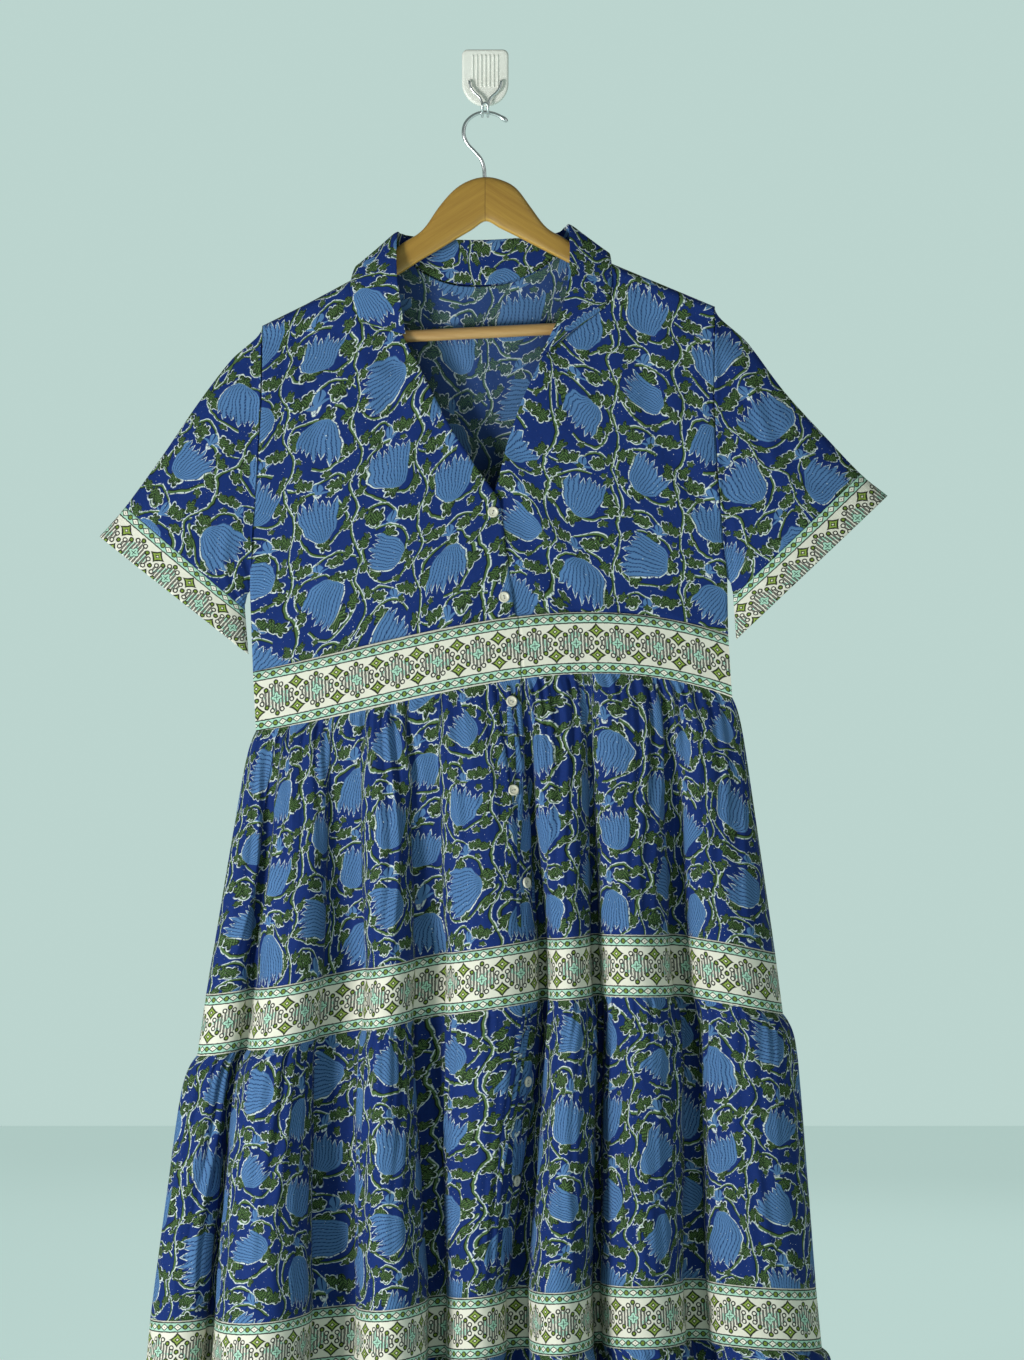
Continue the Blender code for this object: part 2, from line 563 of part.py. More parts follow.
def make_collar():
    places = np.linspace(0, len(COLLAR["seam_x"]) - 1, COLLAR_STATIONS)
    points = collar_points(places)
    along = np.gradient(points, axis=0)
    across = np.gradient(points, axis=1)
    normal = np.cross(across, along)
    normal /= np.linalg.norm(normal, axis=-1)[..., None]
    add_wall("collar", points, points - normal * COLLAR_WALL, PRINT)


make_collar()

# Wooden hanger: two contoured arms in one, sections from tip to tip, deep at the feet for the bar.
ARMS = table(
    "x top low room",
    (-0.2185, -0.2540, -0.2620, 0.0015), (-0.2140, -0.2510, -0.2720, 0.0028), (-0.2050, -0.2460, -0.2800, 0.0040),
    (-0.1920, -0.2400, -0.2810, 0.0050), (-0.1800, -0.2345, -0.2800, 0.0058), (-0.1797, -0.2343, -0.2560, 0.0058),
    (-0.1500, -0.2190, -0.2365, 0.0060), (-0.1150, -0.1945, -0.2165, 0.0060), (-0.0850, -0.1710, -0.2000, 0.0060),
    (-0.0600, -0.1530, -0.1840, 0.0062), (-0.0470, -0.1340, -0.1765, 0.0064), (-0.0300, -0.1150, -0.1660, 0.0066),
    (-0.0130, -0.1055, -0.1560, 0.0068), (0.0005, -0.1030, -0.1475, 0.0068), (0.0150, -0.1055, -0.1545, 0.0068),
    (0.0320, -0.1150, -0.1628, 0.0066), (0.0460, -0.1335, -0.1700, 0.0064), (0.0600, -0.1520, -0.1772, 0.0062),
    (0.0800, -0.1645, -0.1873, 0.0060), (0.1150, -0.1855, -0.2055, 0.0060), (0.1500, -0.2030, -0.2235, 0.0060),
    (0.1797, -0.2150, -0.2400, 0.0052), (0.1800, -0.2152, -0.2590, 0.0052), (0.1920, -0.2200, -0.2600, 0.0046),
    (0.2050, -0.2250, -0.2590, 0.0036), (0.2140, -0.2290, -0.2500, 0.0025), (0.2185, -0.2320, -0.2420, 0.0015),
)
ARM_SIDES = 10
SNUG = 0.0003  # the arms' tops are this much higher than the table says, right under the cloth
BAR_RADIUS, BAR_REACH, BAR_MIDDLE_Z, BAR_SLOPE = 0.006, 0.1792, -0.259, 0.051
HOOK_RADIUS, WIRE_RADIUS = 0.0019, 0.0013
HOOK_ROUTE = (
    (-0.0005, -0.1035), (-0.0012, -0.0940), (-0.0040, -0.0855), (-0.0105, -0.0775), (-0.0175, -0.0700),
    (-0.0215, -0.0600), (-0.0200, -0.0500), (-0.0135, -0.0425), (-0.0050, -0.0386), (0.0000, -0.0380),
    (0.0085, -0.0394), (0.0165, -0.0430), (0.0225, -0.0475),
)


def make_hanger():
    turn = 2 * math.pi * (np.arange(ARM_SIDES) + 0.5) / ARM_SIDES
    round_y, round_z = np.sin(turn), np.cos(turn)
    soft = np.abs(np.stack([round_y, round_z])) ** 0.7 * np.sign(np.stack([round_y, round_z]))
    top = ARMS["top"] + SNUG * np.clip((np.abs(ARMS["x"]) - 0.08) / 0.01, 0, 1)
    middle, half = (top + ARMS["low"]) / 2, (top - ARMS["low"]) / 2
    x = np.repeat(ARMS["x"][:, None], ARM_SIDES, 1)
    y = MIDDLE_Y + ARMS["room"][:, None] * soft[0]
    z = middle[:, None] + half[:, None] * soft[1]
    count = len(middle)
    faces = [tuple(range(ARM_SIDES)), tuple(range((count - 1) * ARM_SIDES, count * ARM_SIDES))]
    for r in range(count - 1):
        for c in range(ARM_SIDES):
            a, b = r * ARM_SIDES + c, r * ARM_SIDES + (c + 1) % ARM_SIDES
            faces.append((a, b, b + ARM_SIDES, a + ARM_SIDES))
    add_mesh("hanger_arms", np.stack([x, y, z], axis=-1).reshape(-1, 3), faces, WOOD)
    ends = [(x, MIDDLE_Y, BAR_MIDDLE_Z + BAR_SLOPE * x) for x in (-BAR_REACH, 0, BAR_REACH)]
    add_tube("hanger_bar", ends, BAR_RADIUS, 12, WOOD)
    route = curve_through([(x, MIDDLE_Y, z) for x, z in HOOK_ROUTE], 27)
    radius = np.full(len(route), HOOK_RADIUS)
    radius[-2:] = 0.0025, 0.0021
    add_tube("hanger_hook", route, radius, 8, STEEL)


make_hanger()

# Adhesive wall hook: a plastic plate with raised ribs, and one steel wire bent double.
PLATE_LEFT, PLATE_RIGHT, PLATE_TOP, PLATE_THICK = -0.0235, 0.0235, 0.029, 0.006
PLATE_BEND_Z = -0.005  # height at which the plate's sides turn into its round foot
CORNER = 0.006
RIBS, RIB_WIDTH, RIB_PITCH, RIB_HEIGHT, RIB_LOW, RIB_TOP = 7, 0.0022, 0.0042, 0.0010, -0.010, 0.024
WIRE_ROUTE = (
    (-0.0160, -0.0066, -0.0032), (-0.0160, -0.0088, -0.0038), (-0.0150, -0.0098, -0.0090), (-0.0112, -0.0100, -0.0150),
    (-0.0058, -0.0102, -0.0200), (-0.0030, -0.0108, -0.0262), (-0.0028, -0.0140, -0.0350), (-0.0028, -0.0210, -0.0402),
    (-0.0028, -0.0300, -0.0416), (-0.0028, -0.0395, -0.0412), (-0.0028, -0.0448, -0.0372), (-0.0024, -0.0468, -0.0320),
)
WIRE_TIP = (0.0, -0.0472, -0.0298)


def make_wall_hook():
    half = (PLATE_RIGHT - PLATE_LEFT) / 2
    outline = []
    for corner_x, start in ((PLATE_RIGHT - CORNER, 0), (PLATE_LEFT + CORNER, 90)):
        for step in range(5):
            turn = math.radians(start + 22.5 * step)
            outline.append((corner_x + CORNER * math.cos(turn), PLATE_TOP - CORNER + CORNER * math.sin(turn)))
    for step in range(13):
        turn = math.radians(180 + 15 * step)
        outline.append((half * math.cos(turn), PLATE_BEND_Z + half * math.sin(turn)))
    count = len(outline)
    points = [(x, y, z) for y in (0.0, -PLATE_THICK) for x, z in outline]
    faces = [tuple(range(count)), tuple(range(count, 2 * count))]
    faces += [(i, (i + 1) % count, count + (i + 1) % count, count + i) for i in range(count)]
    plate = add_mesh("wall_hook_plate", points, faces, PLASTIC)
    points, faces = [], []
    for rib in range(RIBS):
        middle = (rib - (RIBS - 1) / 2) * RIB_PITCH
        base = len(points)
        for y in (-PLATE_THICK + 0.001, -PLATE_THICK - RIB_HEIGHT):
            for x, z in ((-1, RIB_LOW), (1, RIB_LOW), (1, RIB_TOP), (-1, RIB_TOP)):
                points.append((middle + x * RIB_WIDTH / 2, y, z))
        box = ((0, 1, 2, 3), (4, 5, 6, 7), (0, 1, 5, 4), (1, 2, 6, 5), (2, 3, 7, 6), (3, 0, 4, 7))
        faces += [tuple(base + i for i in face) for face in box]
    ribs = add_mesh("plate_ribs", points, faces, PLASTIC)
    ribs.hide_render = True
    ribs.display_type = "WIRE"
    join = plate.modifiers.new("ribs", "BOOLEAN")
    join.operation = "UNION"
    join.object = ribs
    right = [(-x, y, z) for x, y, z in reversed(WIRE_ROUTE)]
    add_tube("wall_hook_wire", curve_through([*WIRE_ROUTE, WIRE_TIP, *right], 49), WIRE_RADIUS, 6, STEEL)


make_wall_hook()

# Buttons down the left front, near its edge. Heights of their middles.
BUTTON_HEIGHTS = (-0.440, -0.525, -0.628, -0.716, -0.809, -1.007, -1.106)
BUTTON_SIDES = 12


def bodice_place(z):
    """Middle and outward direction of a button on the bodice's left front."""
    def face(x, z):
        below = np.interp(x, SHOULDER_LEFT["x"], SHOULDER_LEFT["z"]) - z
        return np.array([x, MIDDLE_Y - float(half_thickness(x, z, below)), z])
    x = float(np.interp(z, EDGE_LEFT["z"], EDGE_LEFT["x"])) - BUTTON_INSET
    step = 0.002
    normal = np.cross(face(x, z - step) - face(x, z + step), face(x + step, z) - face(x - step, z))
    return face(x, z), normal / np.linalg.norm(normal)


def skirt_place(z):
    """Middle and outward direction of a button on the skirt's left front."""
    levels = np.linspace(0, 6, 241)
    edge = skirt_surface(FRONT_FOLDS, np.full(241, FRONT_EDGE - 0.05), levels, True)
    v = np.interp(-z, -edge[:, 2], levels)
    s = FRONT_EDGE - np.linspace(0, 0.6, 121)
    path = skirt_surface(FRONT_FOLDS, s, np.full(121, v), True)
    walked = np.concatenate([[0], np.cumsum(np.linalg.norm(np.diff(path, axis=0), axis=1))])
    s = float(np.interp(BUTTON_INSET + TIER_INSET * np.clip((v - 1) / 0.35, 0, 1), walked, s))
    # The cloth is flat between two columns of its grid, so the button is laid on that flat.
    column = 1 / FRONT_FOLDS["columns"][int(FRONT_EDGE) - 1]
    ends = np.floor(s / column) * column + np.array([0, column])
    row = np.full(2, v)
    face = skirt_surface(FRONT_FOLDS, ends, row, True)
    normals = skirt_normal(FRONT_FOLDS, ends, row, True)
    drop = skirt_surface(FRONT_FOLDS, ends, np.floor(row), True)[:, 2] - face[:, 2]
    face = face + normals * gather_rise(FRONT_FOLDS, ends, row, drop, True)[:, None]
    normal = normals.mean(axis=0)
    share = (s - ends[0]) / column
    return face[0] * (1 - share) + face[1] * share, normal / np.linalg.norm(normal)


def make_buttons():
    profile = table(
        "radius height",
        (0.80, 0.0), (1.0, 0.3), (1.0, 0.75), (0.84, 1.0), (0.66, 0.8),
    )
    turn = 2 * math.pi * np.arange(BUTTON_SIDES) / BUTTON_SIDES
    for number, z in enumerate(BUTTON_HEIGHTS, 1):
        middle, normal = bodice_place(z) if z > -0.54 else skirt_place(z)
        side = np.cross(normal, (0.0, 0.0, 1.0))
        side /= np.linalg.norm(side)
        up = np.cross(side, normal)
        points = []
        for radius, height in zip(profile["radius"], profile["height"]):
            lift = normal * (GAP + 0.0002 + BUTTON_THICK * height)
            ring = np.cos(turn)[:, None] * side + np.sin(turn)[:, None] * up
            points.append(middle + lift + BUTTON_RADIUS * radius * ring)
        last = (len(points) - 1) * BUTTON_SIDES
        faces = [tuple(range(BUTTON_SIDES)), tuple(range(last, last + BUTTON_SIDES))]
        for r in range(len(points) - 1):
            for c in range(BUTTON_SIDES):
                a, b = r * BUTTON_SIDES + c, r * BUTTON_SIDES + (c + 1) % BUTTON_SIDES
                faces.append((a, b, b + BUTTON_SIDES, a + BUTTON_SIDES))
        add_mesh(f"button_{number}", np.concatenate(points), faces, BONE)


make_buttons()
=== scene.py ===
import math

import bpy
import numpy as np
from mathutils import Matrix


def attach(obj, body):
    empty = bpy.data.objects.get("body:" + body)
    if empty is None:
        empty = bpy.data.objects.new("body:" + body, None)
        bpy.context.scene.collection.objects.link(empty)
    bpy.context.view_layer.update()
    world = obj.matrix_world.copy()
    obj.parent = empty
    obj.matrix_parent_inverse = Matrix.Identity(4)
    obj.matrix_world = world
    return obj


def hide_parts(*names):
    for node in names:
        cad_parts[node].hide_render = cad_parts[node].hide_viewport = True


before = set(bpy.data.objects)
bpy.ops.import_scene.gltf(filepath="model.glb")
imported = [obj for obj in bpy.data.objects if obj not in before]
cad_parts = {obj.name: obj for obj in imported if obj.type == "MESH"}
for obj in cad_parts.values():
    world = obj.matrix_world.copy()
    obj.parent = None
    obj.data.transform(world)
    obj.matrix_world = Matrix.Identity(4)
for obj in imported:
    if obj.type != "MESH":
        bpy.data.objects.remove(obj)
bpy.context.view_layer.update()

# Metres, +Z up. The wall is the plane y = 0 and the dress hangs before it towards -Y. Left and right
# are the viewer's. Every cloth piece is a thin shell on the same surface formula as its CAD solid,
# with finer folds, and carries a UV map in metres of flat cloth: u across the piece, v up the piece.


# Camera and lights. The photo looks straight at the wall with little perspective, so the camera is 5 m
# back with a long lens. A soft window light comes from the left, with a weak fill and a back light.
SENSOR = 36.0  # millimetres
SEEN_HEIGHT, CAMERA_BACK = 1.36, 5.0  # metres of dress in the picture's height, and from it to the lens
camera = bpy.data.objects.new("camera", bpy.data.cameras.new("camera"))
camera.location = (0.027, -0.055 - CAMERA_BACK, -0.608)
camera.rotation_euler = (math.radians(90), 0, 0)
camera.data.sensor_fit = "AUTO"
camera.data.sensor_width = SENSOR
camera.data.lens = SENSOR * CAMERA_BACK / SEEN_HEIGHT
bpy.context.collection.objects.link(camera)
bpy.context.scene.camera = camera

# The camera sees a pale backdrop; the light from all round is a third of that.
world = bpy.data.worlds.new("studio")
world.use_nodes = True
tree = world.node_tree
tree.nodes["Background"].inputs["Color"].default_value = (0.50, 0.66, 0.62, 1)
seen = tree.nodes.new("ShaderNodeLightPath")
strength = tree.nodes.new("ShaderNodeMapRange")
strength.inputs["To Min"].default_value = 0.30
tree.links.new(seen.outputs["Is Camera Ray"], strength.inputs["Value"])
tree.links.new(strength.outputs[0], tree.nodes["Background"].inputs["Strength"])
bpy.context.scene.world = world
bpy.context.scene.view_settings.view_transform = "Standard"

LIGHTS = (
    # name, place, point looked at, width, power
    ("window_light", (-2.0, -1.9, -1.0), (0.0, 0.0, -1.0), 0.7, 62),
    ("fill_light", (1.8, -2.0, 0.0), (0.0, 0.0, -0.8), 2.0, 8),
    ("back_light", (0.6, 2.4, 0.6), (0.0, 0.0, -0.8), 3.0, 9),
)
for name, place, aim, width, power in LIGHTS:
    light = bpy.data.lights.new(name, "AREA")
    light.shape, light.size, light.energy = "SQUARE", width, power
    lamp = bpy.data.objects.new(name, light)
    lamp.location = place
    way = np.subtract(aim, place)
    tilt = math.acos(-way[2] / np.linalg.norm(way))
    lamp.rotation_euler = (tilt, 0, math.atan2(way[1], way[0]) - math.pi / 2)
    bpy.context.collection.objects.link(lamp)


# Skirt: three gathered tiers of block-printed cotton cambric, each under a flat band of bordered cloth.
# A tier is three straight strips, gathered on a thread and sewn to the band above it. The fronts lap
# at the middle, the left one on top, and side seams join them to the back.

# The cloth first. Formulas for the prints are written with Wire, which turns each sum or comparison
# into a Math node. Prints are drawn in millimetres of flat cloth, from the UV map.
class Wire:
    """A node socket in a formula. Masks run from 0 to 1 over a soft edge."""

    def __init__(self, tree, socket):
        self.tree, self.socket = tree, socket

    def do(self, operation, *others, clamp=False):
        node = self.tree.nodes.new("ShaderNodeMath")
        node.operation, node.use_clamp = operation, clamp
        for slot, value in zip(node.inputs, (self, *others)):
            plug(self.tree, value, slot)
        return Wire(self.tree, node.outputs[0])

    __add__ = __radd__ = lambda self, other: self.do("ADD", other)
    __mul__ = __rmul__ = lambda self, other: self.do("MULTIPLY", other)
    __sub__ = lambda self, other: self.do("SUBTRACT", other)
    __rsub__ = lambda self, other: self.do("MULTIPLY_ADD", -1.0, other)
    __truediv__ = lambda self, other: self.do("DIVIDE", other)
    __abs__ = lambda self: self.do("ABSOLUTE")
    low = lambda self, other: self.do("MINIMUM", other)
    high = lambda self, other: self.do("MAXIMUM", other)

    def below(self, limit, soft=0.25):
        """1 where the wire is under the limit."""
        if isinstance(limit, Wire):
            return (self - limit).below(0.0, soft)
        return self.do("MULTIPLY_ADD", -0.5 / soft, 0.5 + 0.5 * limit / soft, clamp=True)

    def above(self, limit, soft=0.25):
        """1 where the wire is over the limit."""
        return self.do("MULTIPLY_ADD", 0.5 / soft, 0.5 - 0.5 * limit / soft, clamp=True)

    def near(self, place, half, soft=0.25):
        """1 in a line of that half width at the place."""
        return abs(self - place).below(half, soft)

    def wrapped(self, period):
        """The wire repeated with a period, from minus half of it to half."""
        return self.do("WRAP", period / 2, -period / 2)


def plug(tree, value, slot):
    """A wire is linked to the slot, and a number or colour set as its value."""
    if isinstance(value, Wire):
        tree.links.new(value.socket, slot)
    else:
        slot.default_value = value


def vector(wire, operation, *others):
    """A Vector Math node on the wire."""
    node = wire.tree.nodes.new("ShaderNodeVectorMath")
    node.operation = operation
    for slot, value in zip(node.inputs, (wire, *others)):
        plug(wire.tree, value, slot)
    return Wire(wire.tree, node.outputs["Vector"])


def split(wire):
    """The three parts of a vector, as wires."""
    node = wire.tree.nodes.new("ShaderNodeSeparateXYZ")
    plug(wire.tree, wire, node.inputs[0])
    return [Wire(wire.tree, socket) for socket in node.outputs]


def noise(wire, scale, detail=2.0, output="Fac"):
    """Cloudy noise at the wire's place, 1 / scale long."""
    node = wire.tree.nodes.new("ShaderNodeTexNoise")
    plug(wire.tree, wire, node.inputs["Vector"])
    node.inputs["Scale"].default_value = scale
    node.inputs["Detail"].default_value = detail
    return Wire(wire.tree, node.outputs[output])


def mix(share, first, second):
    """Colour mix: the second colour where the share is 1."""
    tree = share.tree
    node = tree.nodes.new("ShaderNodeMix")
    node.data_type = "RGBA"
    for slot, value in ((node.inputs[0], share), (node.inputs[6], first), (node.inputs[7], second)):
        plug(tree, value if isinstance(value, Wire) else (*value, 1.0), slot)
    return Wire(tree, node.outputs[2])


def group(name, inputs, outputs, build):
    """A node group whose build function gets its input wires and returns its output wires."""
    tree = bpy.data.node_groups.new(name, "ShaderNodeTree")
    for title, kind in inputs:
        tree.interface.new_socket(title, in_out="INPUT", socket_type=f"NodeSocket{kind}")
    for title, kind in outputs:
        tree.interface.new_socket(title, in_out="OUTPUT", socket_type=f"NodeSocket{kind}")
    entry, end = tree.nodes.new("NodeGroupInput"), tree.nodes.new("NodeGroupOutput")
    results = build(*[Wire(tree, entry.outputs[title]) for title, _ in inputs])
    for (title, _), wire in zip(outputs, results):
        tree.links.new(wire.socket, end.inputs[title])
    return tree


def use(shared, tree, *values):
    """An instance of a node group: its outputs as wires."""
    node = tree.nodes.new("ShaderNodeGroup")
    node.node_tree = shared
    for slot, value in zip(node.inputs, values):
        plug(tree, value, slot)
    return [Wire(tree, socket) for socket in node.outputs]


LOCAL = (("Across", "Float"), ("Up", "Float"), ("Size", "Float"))
MASKS = (("Body", "Float"), ("Line", "Float"), ("Rim", "Float"))


def polar(x, y):
    """Angle from the upward direction and distance."""
    return x.do("ARCTAN2", y), (x * x + y * y).do("SQRT")


def lotus_masks(x, y, size):
    """A cup of seven pointed petals with eleven dashed lines, from the place q across the cup.

    half width = 20 sqrt(1 - low^2) + 4.5 high, low and high the shares of the height below and above 20
    tips at 45 - 8 (distance from the petal's middle) - 6 q^2, and up to 3 higher or lower by turns
    """
    x, y = x / size, y / size
    low, high = ((20.0 - y) / 20.0).high(0.0), ((y - 20.0) / 25.0).high(0.0)
    half = (1.0 - low * low).high(0.0).do("SQRT") * 20.0 + high * 4.5
    q = x / half.high(0.5)
    petal, stripe = q * 3.5 + 3.5, q * 5.5 + 5.5
    number = stripe.do("FLOOR")
    off = abs(stripe.do("FRACT") - 0.5) * 2.0
    edge = abs(petal.do("FRACT") - 0.5) * 2.0
    tip = 45.0 - edge * 8.0 - q * q * 6.0 + (petal.do("FLOOR") * 2.4).do("SINE") * 3.0
    body = abs(x).below(half, 0.35) * y.below(tip, 0.4) * y.above(0.3, 0.3)
    dash = (y * 1.9 + number * 1.7).do("SINE").above(-0.35, 0.3)
    line = body * (off.above(0.73, 0.10) * dash).high(off.above(0.75, 0.30) * 0.5) * y.above(2.0, 1.0)
    rim_side = (abs(x) - half).near(1.0, 0.7) * x.below(4.0, 8.0) * y.above(-1.0) * y.below(30.0, 6.0)
    rim_tip = (tip - y).near(0.0, 1.5, 0.5) * edge.below(0.75, 0.1) * abs(q).below(0.97, 0.05)
    return body, line, rim_side.high(rim_tip)


def leaf_masks(x, y, size):
    """An ivy-like leaf of five lobes: radius = 0.60 + 0.42 |cos(2.5 angle)|, shorter behind."""
    x, y = x / size, y / size - 0.6
    angle, far = polar(x, y)
    lobe = abs((angle * 2.5).do("COSINE"))
    edge = far - (0.60 + lobe * 0.42) * (1.0 - angle * angle * 0.035)
    body = edge.below(0.0, 0.03)
    veins = lobe.above(0.982, 0.012) * far.above(0.10, 0.05)
    hatch = ((abs(x) * 1.2 + y) * 17.0).do("SINE").above(0.35, 0.3) * 0.9
    rim = edge.near(0.10, 0.07, 0.03) * (x * 1.4 + y).below(0.3, 0.25)
    return body, body * veins.high(edge.near(-0.05, 0.06, 0.03)).high(hatch), rim


def bud_masks(x, y, size):
    """A small flower of three petals: radius = 0.45 + 0.55 |cos(2 angle)| in front of its base."""
    x, y = x / size, y / size
    angle, far = polar(x, y)
    edge = far - (0.45 + abs((angle * 2.0).do("COSINE")) * 0.55) * abs(angle).below(1.25, 0.05)
    body = edge.below(0.0, 0.03)
    line = body * abs((angle * 5.0).do("SINE")).below(0.3, 0.1) * far.above(0.3, 0.1)
    return body, line, far.near(0.22, 0.08, 0.03).high(edge.near(0.06, 0.06, 0.03) * x.below(0.0, 0.1))


LOTUS, LEAF, BUD = (
    group(name, LOCAL, MASKS, build)
    for name, build in (("lotus", lotus_masks), ("leaf", leaf_masks), ("bud", bud_masks))
)

# The flower print. Cells of 65 x 81.5 mm hold a lotus each, every other column is 33 mm higher, and
# the lotuses of a block of two by two cells face four ways. Colours are those of the inks.
CELL_WIDE, CELL_HIGH, STEP_UP = 65.0, 81.5, 33.0
FACING = (28.0, -72.0, 8.0, -158.0)  # degrees clockwise from up
GROUND = (0.0060, 0.0265, 0.155)
PETAL, PETAL_LINE = (0.080, 0.183, 0.375), (0.007, 0.024, 0.090)
GREEN, GREEN_DARK, PALE = (0.074, 0.138, 0.042), (0.004, 0.010, 0.007), (0.64, 0.70, 0.67)


def vine_masks(across, half):
    """A vine's body, its dark side and its pale off-register side, from the distance across it."""
    return (across + 0.2).near(0.0, half), (across + 1.15).near(0.0, 0.45), across.near(1.25, 0.5, 0.25)


def flower_colour(cloth):
    """Layers: ground, a waving vine between the cells, then in each cell the vine that curls round to
    the lotus's foot, its leaves, and the lotus. Every motif has a pale rim on one side."""
    tree = cloth.tree
    for pitch, reach in ((0.014, 36.0), (0.09, 4.5)):
        shake = vector(noise(cloth, pitch, 1.0, "Color"), "SUBTRACT", (0.5, 0.5, 0.5))
        cloth = vector(cloth, "ADD", vector(shake, "MULTIPLY", (reach, reach, 0.0)))
    u, v, _ = split(cloth)
    patchy = noise(cloth, 0.5, 1.0)
    pale = patchy.above(0.42, 0.06)
    colour = mix(patchy.below(0.55, 0.3), GROUND, tuple(0.84 * c for c in GROUND))

    def lay(colour, masks, fill=GREEN, dark=GREEN_DARK):
        body, line, rim = masks
        return mix(line, mix(body, mix(rim * pale, colour, PALE), fill), dark)

    # The cell's own frame: x across and y along the way that its lotus faces.
    column = (u / CELL_WIDE).do("FLOOR")
    odd = (column * 0.5).do("FRACT") * 2.0
    raised = v + odd * STEP_UP
    row = (raised / CELL_HIGH).do("FLOOR")
    odd_row = (row * 0.5).do("FRACT") * 2.0
    a, b, c, d = (math.radians(degrees) for degrees in FACING)
    chance = ((column * 12.99 + row * 78.23).do("SINE") * 437.5).do("FRACT")
    turn = odd * (c - a) + odd_row * (b - a) + odd * odd_row * (a - b - c + d) + a + chance * 0.9 - 0.45
    px, py = u - column * CELL_WIDE - CELL_WIDE / 2, raised - row * CELL_HIGH - CELL_HIGH / 2

    # Between two cells, one above the other: a waving vine with a curl, two leaves and a bud.
    y, side = raised.wrapped(CELL_HIGH), odd * 2.0 - 1.0
    x = px * side
    colour = lay(colour, vine_masks(y - (x * (2 * math.pi / 62) + 0.5).do("SINE") * 7.5, 1.0))
    curl_x, curl_y = x - 12.5, y + 4.0
    colour = lay(colour, vine_masks((curl_x * curl_x + curl_y * curl_y).do("SQRT") - 5.6, 0.85))
    colour = lay(colour, use(LEAF, tree, abs(x + 2.0) - 18.0, y * 0.9 + 7.0, 7.4))
    colour = lay(colour, use(LEAF, tree, abs(x + 1.0) - 11.0, 3.0 - y, 6.6))
    colour = lay(colour, use(BUD, tree, x + 3.0, y + 12.0, 12.5), PETAL, PETAL_LINE)

    sine, cosine = turn.do("SINE"), turn.do("COSINE")
    x, y = px * cosine - py * sine, px * sine + py * cosine

    # Vine round the lotus: radius 28, in to the lotus's foot on one side and out on the other.
    angle, far = polar(x, 0.0 - y)
    inward = (1.0 - angle / 1.3).low(1.0).high(0.0) * angle.above(0.0, 0.02)
    outward = (angle / 0.6 + 1.0).high(0.0) * angle.below(0.0, 0.02)
    across = far - 28.0 + inward * 9.0 - outward * 3.0 - (angle * 2.0 + chance * 6.3).do("SINE") * 2.6
    gap = abs(angle * far).above(1.3, 0.3) * angle.below(2.3, 0.03)
    colour = lay(colour, [mask * gap for mask in vine_masks(across, 1.15)])
    leaf = (angle / (math.pi / 3.5) + 0.5).do("FLOOR")
    flip = (leaf * 0.5).do("FRACT") * 4.0 - 1.0
    local = (angle - leaf * (math.pi / 3.5)) * far
    colour = lay(colour, use(LEAF, tree, local, (far - 28.0) * flip, 6.2 - flip * 2.0))
    colour = lay(colour, use(LEAF, tree, x, -15.0 - y, 7.0))

    # A climbing vine between the columns, with pairs of leaves.
    side = u.wrapped(CELL_WIDE)
    colour = lay(colour, vine_masks(side - (v * 0.116).do("SINE") * 4.0, 1.0))
    colour = lay(colour, use(LEAF, tree, (v - side * 0.4).wrapped(27.2), abs(side) - 3.0, 6.4))
    colour = lay(colour, use(LOTUS, tree, x, y + 19.0, chance * -0.20 + 0.98), PETAL, PETAL_LINE)
    return (mix(noise(cloth, 0.8, 0.0).above(0.83, 0.02), colour, PALE),)


FLOWER_PRINT = group("flower_print", (("Cloth", "Vector"),), (("Color", "Color"),), flower_colour)


CREAM, MINT, INK = (0.80, 0.765, 0.65), (0.40, 0.64, 0.50), (0.012, 0.011, 0.011)
OLIVE, OLIVE_PALE = (0.165, 0.245, 0.035), (0.34, 0.43, 0.10)


